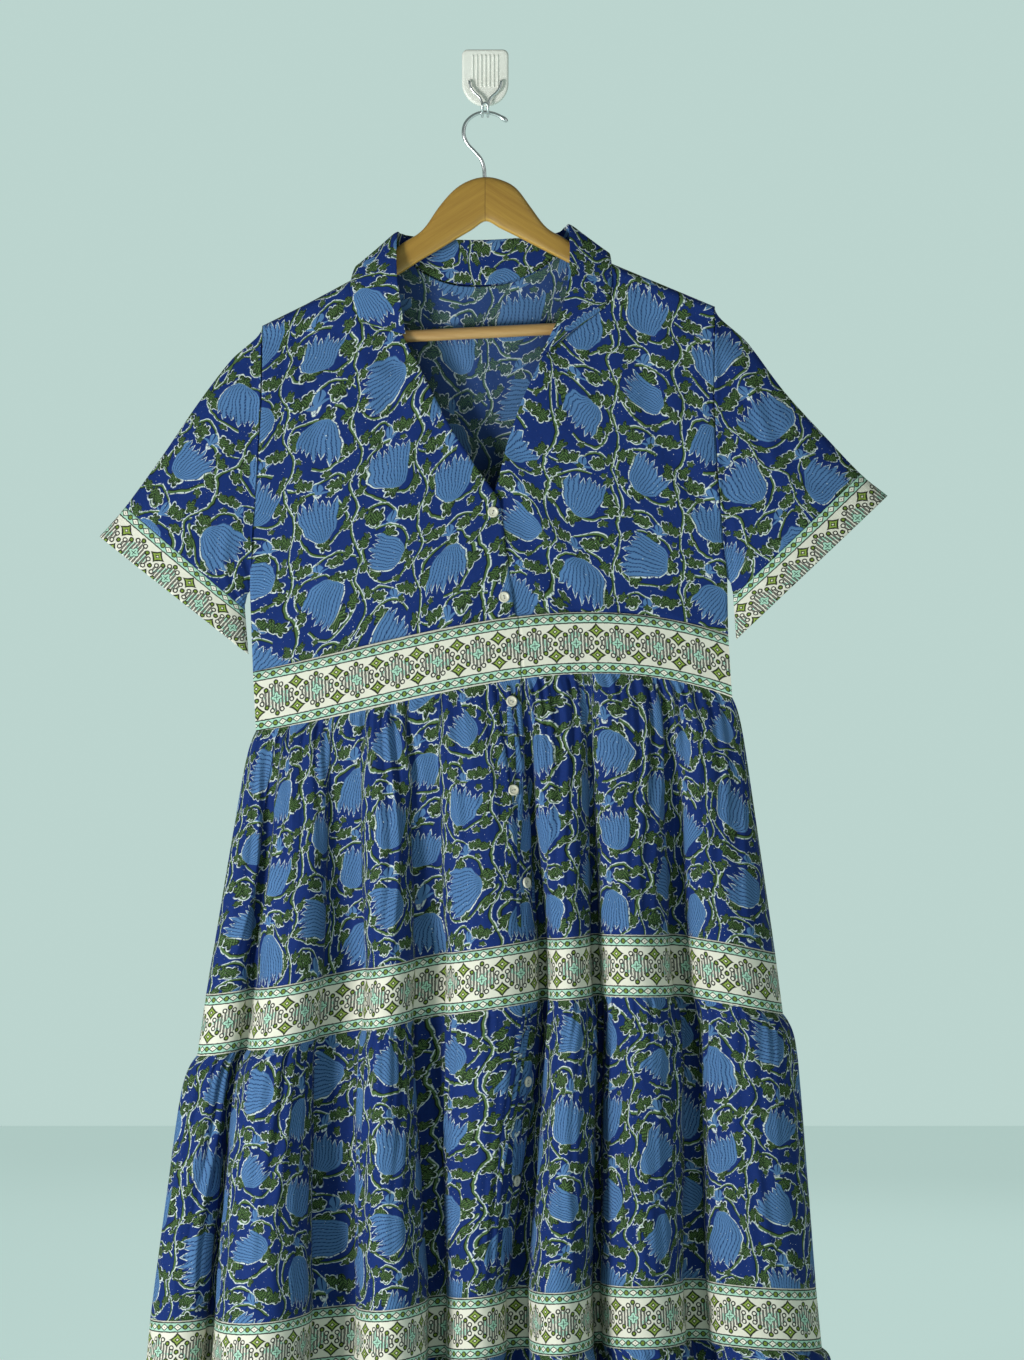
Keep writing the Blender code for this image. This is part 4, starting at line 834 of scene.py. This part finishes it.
for side, away, stations, curve in SLEEVES:
    for part, first, last, rows in (("sleeve", 0, 4, 56), ("sleeve_band", 4, 5, 16)):
        turn, b = np.meshgrid(np.linspace(-math.pi, math.pi, 121), np.linspace(first, last, rows))
        numbers = np.arange(6)
        tx, tz, lx, lz, room = (
            smooth(b, numbers, stations[key]) for key in ("top_x", "top_z", "low_x", "low_z", "room")
        )
        share = (1 - np.cos(turn)) / 2
        x, z = tx + (lx - tx) * share, tz + (lz - tz) * share
        x = x + (np.interp(z, curve["z"], curve["x"]) - x) * np.clip(1 - b, 0, 1) ** 2
        # Its head follows the bodice's edge over the hanger's end, a little lower.
        head = 0.0004 + TIP_ROOM * (1 - share / TIP_SHARE) * np.sqrt(np.clip(share / 0.03, 0, 1))
        swell = np.maximum(room * np.abs(np.sin(turn)), head * np.clip(1 - b / 0.8, 0, 1) ** 1.5)
        points = np.stack([x, MIDDLE_Y - swell * np.where(turn < 0, -1, 1), z], axis=-1)
        points[0, :, 0] += away * 1.7 * GAP if first == 0 else 0
        normal = grid_normals(points, away)
        normal[:, -1] = normal[:, 0]
        drape = np.abs(np.sin(turn)) * np.clip(b / 0.4, 0, 1) * np.clip((4.0 - b) / 0.5, 0.25, 1)
        around = share * 0.27 * np.where(turn < 0, -1, 1)
        valley = -ARMHOLE_DIP * np.exp(-(((b - 0.16) / 0.1) ** 2)) * np.abs(np.sin(turn)) ** 0.6
        wave = wander(around + 0.03 * np.sin(b * 1.3 + away), 0.055, 2.0 * away + 5)
        rise = valley + DRAPE_HEIGHT * drape * wave
        points = points + normal * rise[..., None]
        if part == "sleeve":
            # The flattened tube unfolds along its top fold: distance along the fold, and away from it.
            start = np.array([stations["top_x"][0], stations["top_z"][0]])
            fold = np.array([stations["top_x"][4], stations["top_z"][4]]) - start
            fold /= np.linalg.norm(fold)
            flat = points[..., [0, 2]] - start
            away_from = np.abs(flat[..., 0] * fold[1] - flat[..., 1] * fold[0])
            uv = np.stack([away_from * np.where(turn < 0, -1, 1) * away, -flat @ fold], axis=-1)
        else:
            width = arc(points, 1)
            uv = np.stack([width - width[:, 60:61], 0.0295 - arc(points, 0)], axis=-1)
        cloth(f"{part}_{side}", points, uv, "flower" if part == "sleeve" else "border", away < 0)


# Collar: a shirt collar of two layers of the printed cotton, stand and fall in one, sewn to the neck
# and turned down. A row for each station from the left front end round the neck to the right front
# end: the neck seam, the fold, and the outer edge of the fall.
COLLAR = table(
    "seam_x seam_y seam_z fold_x fold_y fold_z edge_x edge_y edge_z",
    (-0.0812, -0.0492, -0.2600, -0.0795, -0.0540, -0.2615, -0.1240, -0.0470, -0.2500),
    (-0.0870, -0.0478, -0.2370, -0.0840, -0.0545, -0.2330, -0.1310, -0.0470, -0.2330),
    (-0.0925, -0.0470, -0.2100, -0.0880, -0.0550, -0.2040, -0.1350, -0.0465, -0.2120),
    (-0.0905, -0.0400, -0.1690, -0.0880, -0.0430, -0.1630, -0.1290, -0.0390, -0.1920),
    (-0.0895, -0.0280, -0.1700, -0.0840, -0.0270, -0.1600, -0.1200, -0.0230, -0.1980),
    (-0.0770, -0.0262, -0.1840, -0.0755, -0.0245, -0.1620, -0.1060, -0.0210, -0.2080),
    (-0.0470, -0.0252, -0.2045, -0.0470, -0.0225, -0.1650, -0.0600, -0.0200, -0.2190),
    (-0.0020, -0.0252, -0.2105, -0.0020, -0.0220, -0.1660, -0.0020, -0.0195, -0.2210),
    (0.0430, -0.0252, -0.2005, 0.0430, -0.0225, -0.1630, 0.0560, -0.0200, -0.2170),
    (0.0730, -0.0262, -0.1770, 0.0715, -0.0245, -0.1590, 0.1020, -0.0210, -0.2010),
    (0.0855, -0.0280, -0.1620, 0.0800, -0.0270, -0.1530, 0.1160, -0.0230, -0.1860),
    (0.0865, -0.0400, -0.1610, 0.0840, -0.0430, -0.1550, 0.1250, -0.0390, -0.1800),
    (0.0850, -0.0470, -0.2020, 0.0840, -0.0550, -0.1960, 0.1270, -0.0465, -0.2080),
    (0.0780, -0.0478, -0.2380, 0.0770, -0.0545, -0.2360, 0.1210, -0.0475, -0.2320),
    (0.0565, -0.0500, -0.2805, 0.0550, -0.0545, -0.2835, 0.1000, -0.0485, -0.2500),
)
FOLD_RADIUS, FOLD_CREST, FALL_BOW = 0.0018, 0.0012, 0.001
places = np.linspace(0, 14, 141)
seam, fold, edge = (
    np.stack([smooth(places, np.arange(15), COLLAR[f"{part}_{axis}"]) for axis in "xyz"], axis=-1)
    for part in ("seam", "fold", "edge")
)
out = (edge - seam) * (1, 1, 0)
out /= np.linalg.norm(out, axis=-1)[:, None]
crest = fold - (seam + edge) / 2
crest /= np.linalg.norm(crest, axis=-1)[:, None]
start = fold + out * 2 * FOLD_RADIUS
section = np.stack([
    seam, (seam + fold) / 2, fold + (seam - fold) * 0.1, fold + out * FOLD_RADIUS + crest * FOLD_CREST,
    start + (edge - start) * 0.08, (start + edge) / 2 + crest * FALL_BOW, edge,
], axis=1)
steps = np.linspace(0, 6, 37)
fine = np.empty((len(places), len(steps), 3))
for i in range(len(places)):
    for axis in range(3):
        fine[i, :, axis] = smooth(steps, np.arange(7), section[i, :, axis])
uv = np.stack([arc(fine, 0)[:, 20:21] * np.ones(len(steps)), -arc(fine, 1)], axis=-1)
cloth("collar", fine, uv, "flower", True, wrong_side="", thick=0.0011)


# Buttons: seven pale two-hole shirt buttons, each a dished disc with a rim, sewn to the front edge
# through its holes with two strands of thread. Each stands on its CAD button's axis.
def object_place(tree):
    """Object coordinates in millimetres."""
    node = tree.nodes.new("ShaderNodeTexCoord")
    return vector(Wire(tree, node.outputs["Object"]), "MULTIPLY", (1000.0, 1000.0, 1000.0))


def hard_material(name, roughness, metallic=0.0, coat=0.0):
    """A new material with its node tree and shader."""
    mat = bpy.data.materials.new(name)
    mat.use_nodes = True
    shader = mat.node_tree.nodes["Principled BSDF"]
    shader.inputs["Roughness"].default_value = roughness
    shader.inputs["Metallic"].default_value = metallic
    shader.inputs["Coat Weight"].default_value = coat
    shader.inputs["Coat Roughness"].default_value = 0.25
    return mat, mat.node_tree, shader


def moulded_material(name, colour, second_tone, roughness, scale):
    """Plastic or bone, also the holes' painted shade: slight clouding of the colour and a fine uneven skin.
    """
    mat, tree, shader = hard_material(name, roughness, coat=0.1)
    place = object_place(tree)
    cloud = noise(place, scale, 3.0)
    plug(tree, mix(cloud.above(0.55, 0.25), colour, second_tone), shader.inputs["Base Color"])
    plug(tree, cloud * 0.25 + roughness - 0.1, shader.inputs["Roughness"])
    add_bump(tree, shader, noise(place, 1.6, 2.0) * 0.05)
    return mat


def loft(name, rings, look):
    """A tube through rings of points (rings x sides x 3), smooth and closed with a cap at each end."""
    rings = np.asarray(rings, float)
    count, sides = rings.shape[:2]
    a = (np.arange(count - 1)[:, None] * sides + np.arange(sides)).ravel()
    b = (np.arange(count - 1)[:, None] * sides + (np.arange(sides) + 1) % sides).ravel()
    faces = np.stack([a, b, b + sides, a + sides], axis=1).tolist()
    faces += [list(range(sides))[::-1], list(range((count - 1) * sides, count * sides))]
    mesh = bpy.data.meshes.new(name)
    mesh.from_pydata(rings.reshape(-1, 3).tolist(), [], faces)
    mesh.update()
    mesh.materials.append(look)
    obj = bpy.data.objects.new(name, mesh)
    bpy.context.collection.objects.link(obj)
    mesh.shade_smooth()
    mesh.set_sharp_from_angle(angle=math.radians(55))
    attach(obj, "root")
    return obj


def rod_rings(path, radius, sides):
    """Rings round a path, each square to it and turned as little as possible from the one before."""
    path = np.asarray(path, float)
    radius = np.broadcast_to(radius, len(path))
    ahead = np.gradient(path, axis=0)
    ahead /= np.linalg.norm(ahead, axis=1)[:, None]
    side = np.cross(ahead[0], (0.0, 1.0, 0.0) if abs(ahead[0][1]) < 0.9 else (1.0, 0.0, 0.0))
    turn = 2 * math.pi * np.arange(sides) / sides
    rings = []
    for point, way, size in zip(path, ahead, radius):
        side = side - way * side.dot(way)
        side /= np.linalg.norm(side)
        square = np.cos(turn)[:, None] * side + np.sin(turn)[:, None] * np.cross(way, side)
        rings.append(point + size * square)
    return np.array(rings)


BONE = moulded_material("bone_button", (0.72, 0.69, 0.58), (0.60, 0.54, 0.40), 0.32, 0.3)
THREAD = moulded_material("button_thread", (0.60, 0.60, 0.55), (0.40, 0.42, 0.42), 0.8, 1.0)
# Painted shade: the holes are dark discs, standing for the shade inside them.
HOLE_SHADE = moulded_material("button_hole_shade", (0.10, 0.08, 0.05), (0.05, 0.04, 0.03), 0.8, 1.0)
# How far the holes are from the middle, and the rings of each hole's painted-shade disc, as radius and
# height.
HOLE_PLACE, HOLE_ROUNDS = 1.35, ((0.75, 1.50), (0.72, 1.66), (0.05, 1.64))
STRAND_PLACE, STRAND_LOW, STRAND_RISE = 0.22, 1.62, 0.35
STRAND_RADIUS = 0.00019  # metres; the rest of a button's sizes are in millimetres
DISC = (
    # radius and height of each ring, in millimetres
    (4.4, 0.0), (5.1, 0.15), (5.5, 0.6), (5.5, 1.4), (5.25, 2.05), (4.8, 2.35), (4.3, 2.4),
    (3.9, 2.2), (3.4, 1.75), (2.6, 1.6), (1.2, 1.55), (0.05, 1.55),
)
for number in range(1, 8):
    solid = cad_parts[f"button_{number}"]
    points = np.array([tuple(v.co) for v in solid.data.vertices])
    points = np.unique(points.round(6), axis=0)
    centre = (points.max(axis=0) + points.min(axis=0)) / 2
    normal = np.linalg.svd(points - points.mean(axis=0))[2][2]
    normal *= -np.sign(normal[1])
    low = (points @ normal).min() - centre @ normal
    right = np.cross(normal, (0.0, 0.0, 1.0))
    right /= -np.linalg.norm(right) * np.sign(right[0])
    up = np.cross(normal, right)

    def at(across, above, height):
        """A point on the button, from millimetres to the right, up and out from the cloth."""
        across, above, height = (np.asarray(value)[..., None] / 1000 for value in (across, above, height))
        return centre + right * across + up * above + normal * (low + height)

    def rounds(x, y, profile):
        """Rings about a point of the button, one for each radius and height."""
        return [at(x + r * np.cos(turn), y + r * np.sin(turn), h + 0 * turn) for r, h in profile]

    turn = np.linspace(0, 2 * math.pi, 49)[:-1]
    disc = loft(f"button_{number}_disc", rounds(0.0, 0.0, DISC), BONE)
    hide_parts(f"button_{number}")
    tilt = 0.5 + 0.7 * number
    # Painted shade: a dark disc over each hole stands for the shade inside it.
    for side in (-1, 1):
        x, y = side * HOLE_PLACE * math.cos(tilt), side * HOLE_PLACE * math.sin(tilt)
        rings = rounds(x, y, HOLE_ROUNDS)
        hole = loft(f"button_{number}_hole_{'left' if side < 0 else 'right'}", rings, HOLE_SHADE)
    for strand in (-1, 1):
        share = np.linspace(-1, 1, 15)
        x = share * HOLE_PLACE * math.cos(tilt) - strand * STRAND_PLACE * math.sin(tilt)
        y = share * HOLE_PLACE * math.sin(tilt) + strand * STRAND_PLACE * math.cos(tilt)
        path = at(x, y, STRAND_LOW + STRAND_RISE * np.sqrt(1 - share**2))
        rings = rod_rings(path, STRAND_RADIUS, 8)
        thread = loft(f"button_{number}_thread_{'a' if strand < 0 else 'b'}", rings, THREAD)


# Hanger: two contoured arms of varnished wood, glued at a mitre and deep at the feet that hold the
# round bar, and a hook of plated wire screwed into the middle. A row for each station along the arms.
ARMS = table(
    "x top low room",
    (-0.2185, -0.2540, -0.2620, 0.0015), (-0.2140, -0.2510, -0.2720, 0.0028),
    (-0.2050, -0.2460, -0.2800, 0.0040), (-0.1920, -0.2400, -0.2810, 0.0050),
    (-0.1800, -0.2345, -0.2800, 0.0058), (-0.1797, -0.2343, -0.2560, 0.0058),
    (-0.1500, -0.2190, -0.2365, 0.0060), (-0.1150, -0.1945, -0.2165, 0.0060),
    (-0.0850, -0.1710, -0.2000, 0.0060), (-0.0600, -0.1530, -0.1840, 0.0062),
    (-0.0470, -0.1340, -0.1765, 0.0064), (-0.0300, -0.1150, -0.1660, 0.0066),
    (-0.0130, -0.1055, -0.1560, 0.0068), (0.0005, -0.1030, -0.1475, 0.0068),
    (0.0150, -0.1055, -0.1545, 0.0068), (0.0320, -0.1150, -0.1628, 0.0066),
    (0.0460, -0.1335, -0.1700, 0.0064), (0.0600, -0.1520, -0.1772, 0.0062),
    (0.0800, -0.1645, -0.1873, 0.0060), (0.1150, -0.1855, -0.2055, 0.0060),
    (0.1500, -0.2030, -0.2235, 0.0060), (0.1797, -0.2150, -0.2400, 0.0052),
    (0.1800, -0.2152, -0.2590, 0.0052), (0.1920, -0.2200, -0.2600, 0.0046),
    (0.2050, -0.2250, -0.2590, 0.0036), (0.2140, -0.2290, -0.2500, 0.0025),
    (0.2185, -0.2320, -0.2420, 0.0015),
)

# Feet and arms are worked out apart, so the steps between them stay sharp. Across: a rounded oblong.
ARM_SIDES = 36
sections = []
for rows, count in ((slice(0, 5), 14), (slice(5, 22), 120), (slice(22, 27), 14)):
    places = ARMS["x"][rows]
    x = np.linspace(places[0], places[-1], count)
    sections.append(np.stack([x] + [smooth(x, places, ARMS[key][rows]) for key in ("top", "low", "room")]))
x, top, low, room = np.concatenate(sections, axis=1)
turn = 2 * math.pi * (np.arange(ARM_SIDES) + 0.5) / ARM_SIDES
round_y, round_z = (np.abs(wave(turn)) ** 0.62 * np.sign(wave(turn)) for wave in (np.sin, np.cos))
rings = np.stack([
    np.repeat(x[:, None], ARM_SIDES, 1),
    MIDDLE_Y + room[:, None] * round_y,
    (top + low)[:, None] / 2 + (top - low)[:, None] / 2 * round_z,
], axis=-1)


def wood_material(name, light, dark, slope, mitre):
    """Varnished wood: fine grain drawn out along the stick, broad growth bands, and the mitre line."""
    mat, tree, shader = hard_material(name, 0.38, coat=0.35)
    x, y, z = split(object_place(tree))
    side = abs(x) if mitre else x
    along = side * math.cos(slope) - z * math.sin(slope)
    across = side * math.sin(slope) + z * math.cos(slope)
    other_board = x.above(0.0) * 7.0 if mitre else 0.0
    join = tree.nodes.new("ShaderNodeCombineXYZ")
    for slot, value in zip(join.inputs, (along * 0.012, across * 0.30 + other_board, y * 0.30)):
        plug(tree, value, slot)
    place = Wire(tree, join.outputs[0])
    bands = noise(place, 1.0, 3.0)
    grain = noise(vector(place, "MULTIPLY", (4.0, 7.0, 7.0)), 1.0, 3.0)
    colour = mix((bands * 0.75 + grain * 0.45).above(0.62, 0.22), light, dark)
    if mitre:
        # Painted light: faces that turn downwards, as along the arms' lower edge, are painted a paler wood
        # colour.
        turned = tree.nodes.new("ShaderNodeTexCoord")
        down = 0.0 - split(Wire(tree, turned.outputs["Normal"]))[2]
        colour = mix(down.above(0.42, 0.08) * 0.55, colour, tuple(1.5 * c for c in light))
        colour = mix(side.below(0.3, 0.15) * 0.75, colour, tuple(0.25 * c for c in dark))
    plug(tree, colour, shader.inputs["Base Color"])
    plug(tree, grain * 0.15 + 0.28, shader.inputs["Roughness"])
    add_bump(tree, shader, grain * 0.12)
    return mat


WOOD = wood_material("honey_wood", (0.43, 0.245, 0.042), (0.31, 0.16, 0.026), math.radians(33), True)
arms = loft("hanger_arms_wood", rings, WOOD)
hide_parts("hanger_arms")

BAR_RADIUS = 0.006
BAR_WOOD = wood_material("bar_wood", (0.56, 0.34, 0.13), (0.42, 0.23, 0.075), math.radians(3), False)
bar = [(x, MIDDLE_Y, -0.259 + 0.051 * x) for x in np.linspace(-0.1792, 0.1792, 9)]
bar = loft("hanger_bar_wood", rod_rings(bar, BAR_RADIUS, 28), BAR_WOOD)
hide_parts("hanger_bar")


def steel_material(name, roughness):
    """Bright plated wire with faint drawing marks and a few dull spots."""
    mat, tree, shader = hard_material(name, roughness, 1.0)
    place = object_place(tree)
    spots = noise(place, 0.35, 3.0)
    colour = mix(spots.above(0.62, 0.05) * 0.5, (0.72, 0.73, 0.74), (0.42, 0.41, 0.40))
    plug(tree, colour, shader.inputs["Base Color"])
    plug(tree, spots * 0.22 + roughness * 0.6, shader.inputs["Roughness"])
    add_bump(tree, shader, noise(vector(place, "MULTIPLY", (1.0, 1.0, 6.0)), 1.0, 1.0) * 0.03)
    return mat


def curve_through(points, count):
    """Evenly many points on a smooth curve through a route's own points."""
    points = np.array(points, float)
    lengths = arc(points[None], 1)[0]
    places = np.linspace(0, lengths[-1], count)
    return np.stack([smooth(places, lengths, axis) for axis in points.T], axis=1)


STEEL = steel_material("bright_steel", 0.24)
HOOK_RADIUS = 0.0019
HOOK_ROUTE = (
    (-0.0005, -0.1035), (-0.0012, -0.0940), (-0.0040, -0.0855), (-0.0105, -0.0775), (-0.0175, -0.0700),
    (-0.0215, -0.0600), (-0.0200, -0.0500), (-0.0135, -0.0425), (-0.0050, -0.0386), (0.0000, -0.0380),
    (0.0085, -0.0394), (0.0165, -0.0430), (0.0225, -0.0475),
)
route = curve_through([(x, MIDDLE_Y, z) for x, z in HOOK_ROUTE], 90)
radius = np.full(90, HOOK_RADIUS)
radius[-7:] = (0.0021, 0.0024, 0.00255, 0.00255, 0.0024, 0.0020, 0.0010)
hook = loft("hanger_hook_wire", rod_rings(route, radius, 18), STEEL)
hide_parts("hanger_hook")


# Wall hook: a moulded plastic plate stuck to the wall, and a bent plated wire with both ends in the
# plate's two sockets, on which the hanger's hook hangs.
WIRE_ROUTE = (
    (-0.0160, -0.0066, -0.0032), (-0.0160, -0.0088, -0.0038), (-0.0150, -0.0098, -0.0090),
    (-0.0112, -0.0100, -0.0150), (-0.0058, -0.0102, -0.0200), (-0.0030, -0.0108, -0.0262),
    (-0.0028, -0.0140, -0.0350), (-0.0028, -0.0210, -0.0402), (-0.0028, -0.0300, -0.0416),
    (-0.0028, -0.0395, -0.0412), (-0.0028, -0.0448, -0.0372), (-0.0024, -0.0468, -0.0320),
)
mirrored = [(-x, y, z) for x, y, z in reversed(WIRE_ROUTE)]
WIRE_RADIUS = 0.0013
route = curve_through([*WIRE_ROUTE, (0.0, -0.0472, -0.0298), *mirrored], 150)
wire = loft("wall_hook_steel", rod_rings(route, WIRE_RADIUS, 14), STEEL)
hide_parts("wall_hook_wire")

# The plate has straight sides, small upper corners, a round foot, a rounded rim, and raised ribs.
PLASTIC = moulded_material("cream_plastic", (0.88, 0.87, 0.80), (0.80, 0.78, 0.70), 0.38, 0.04)
outline = []
for centre_x, centre_z, radius, start, end, count in (
    (0.0175, 0.023, 0.006, 0, 90, 13),
    (-0.0175, 0.023, 0.006, 90, 180, 13),
    (0.0, -0.005, 0.0235, 180, 360, 49),
):
    turn = np.radians(np.linspace(start, end, count))
    outline.append(np.stack([centre_x + radius * np.cos(turn), centre_z + radius * np.sin(turn)], axis=1))
outline = np.concatenate(outline)
middle = np.array([0.0, 0.0025])
rings = []
for inset, y in (
    (0.0, 0.0), (0.0, -0.0035), (0.0003, -0.0048), (0.0009, -0.0056), (0.0018, -0.0060), (0.0030, -0.0060),
):
    inner = middle + (outline - middle) * (1 - inset / 0.025)
    rings.append(np.stack([inner[:, 0], np.full(len(inner), y), inner[:, 1]], axis=1))
plate = loft("wall_hook_plate_body", rings, PLASTIC)
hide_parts("wall_hook_plate")

# A rib is a long half cylinder with rounded ends, rising from the plate's face: half width = radius
# sqrt(end (2 - end)), height = radius sqrt(1 - across^2) sqrt(half width / radius).
RIB_RADIUS, RIB_PITCH, RIB_FOOT, RIB_HEAD, RIB_FACE = 0.0011, 0.0042, -0.010, 0.024, -0.0059
across = np.linspace(-1, 1, 9)
along = np.linspace(RIB_FOOT, RIB_HEAD, 30)
end = np.clip(np.minimum(along - RIB_FOOT, RIB_HEAD - along) / RIB_RADIUS, 0, 1)
half = RIB_RADIUS * np.sqrt(end * (2 - end)) + 1e-5
y = RIB_FACE - RIB_RADIUS * np.sqrt(np.clip(1 - across**2, 0, 1)) * np.sqrt(half / half.max())[:, None]
for rib in range(7):
    x = (rib - 3) * RIB_PITCH + half[:, None] * across
    points = np.stack([x, y, along[:, None] * np.ones(9)], axis=-1)
    ridge = grid_mesh(f"plate_rib_{rib + 1}", points, [PLASTIC])


# Floor: a plain pale studio floor just below the hem. It gives off a little light of its own, so that
# it is as pale as the backdrop.
FLOOR_HEIGHT = -1.46
bpy.ops.mesh.primitive_plane_add(size=9, location=(0, 0, FLOOR_HEIGHT))
floor = bpy.context.object
floor.name = "floor"
paint = bpy.data.materials.new("floor_paint")
paint.use_nodes = True
shader = paint.node_tree.nodes["Principled BSDF"]
shader.inputs["Base Color"].default_value = (0.50, 0.62, 0.60, 1)
shader.inputs["Emission Color"].default_value = (0.50, 0.66, 0.62, 1)
shader.inputs["Emission Strength"].default_value = 0.68
shader.inputs["Specular IOR Level"].default_value = 0.1
floor.data.materials.append(paint)
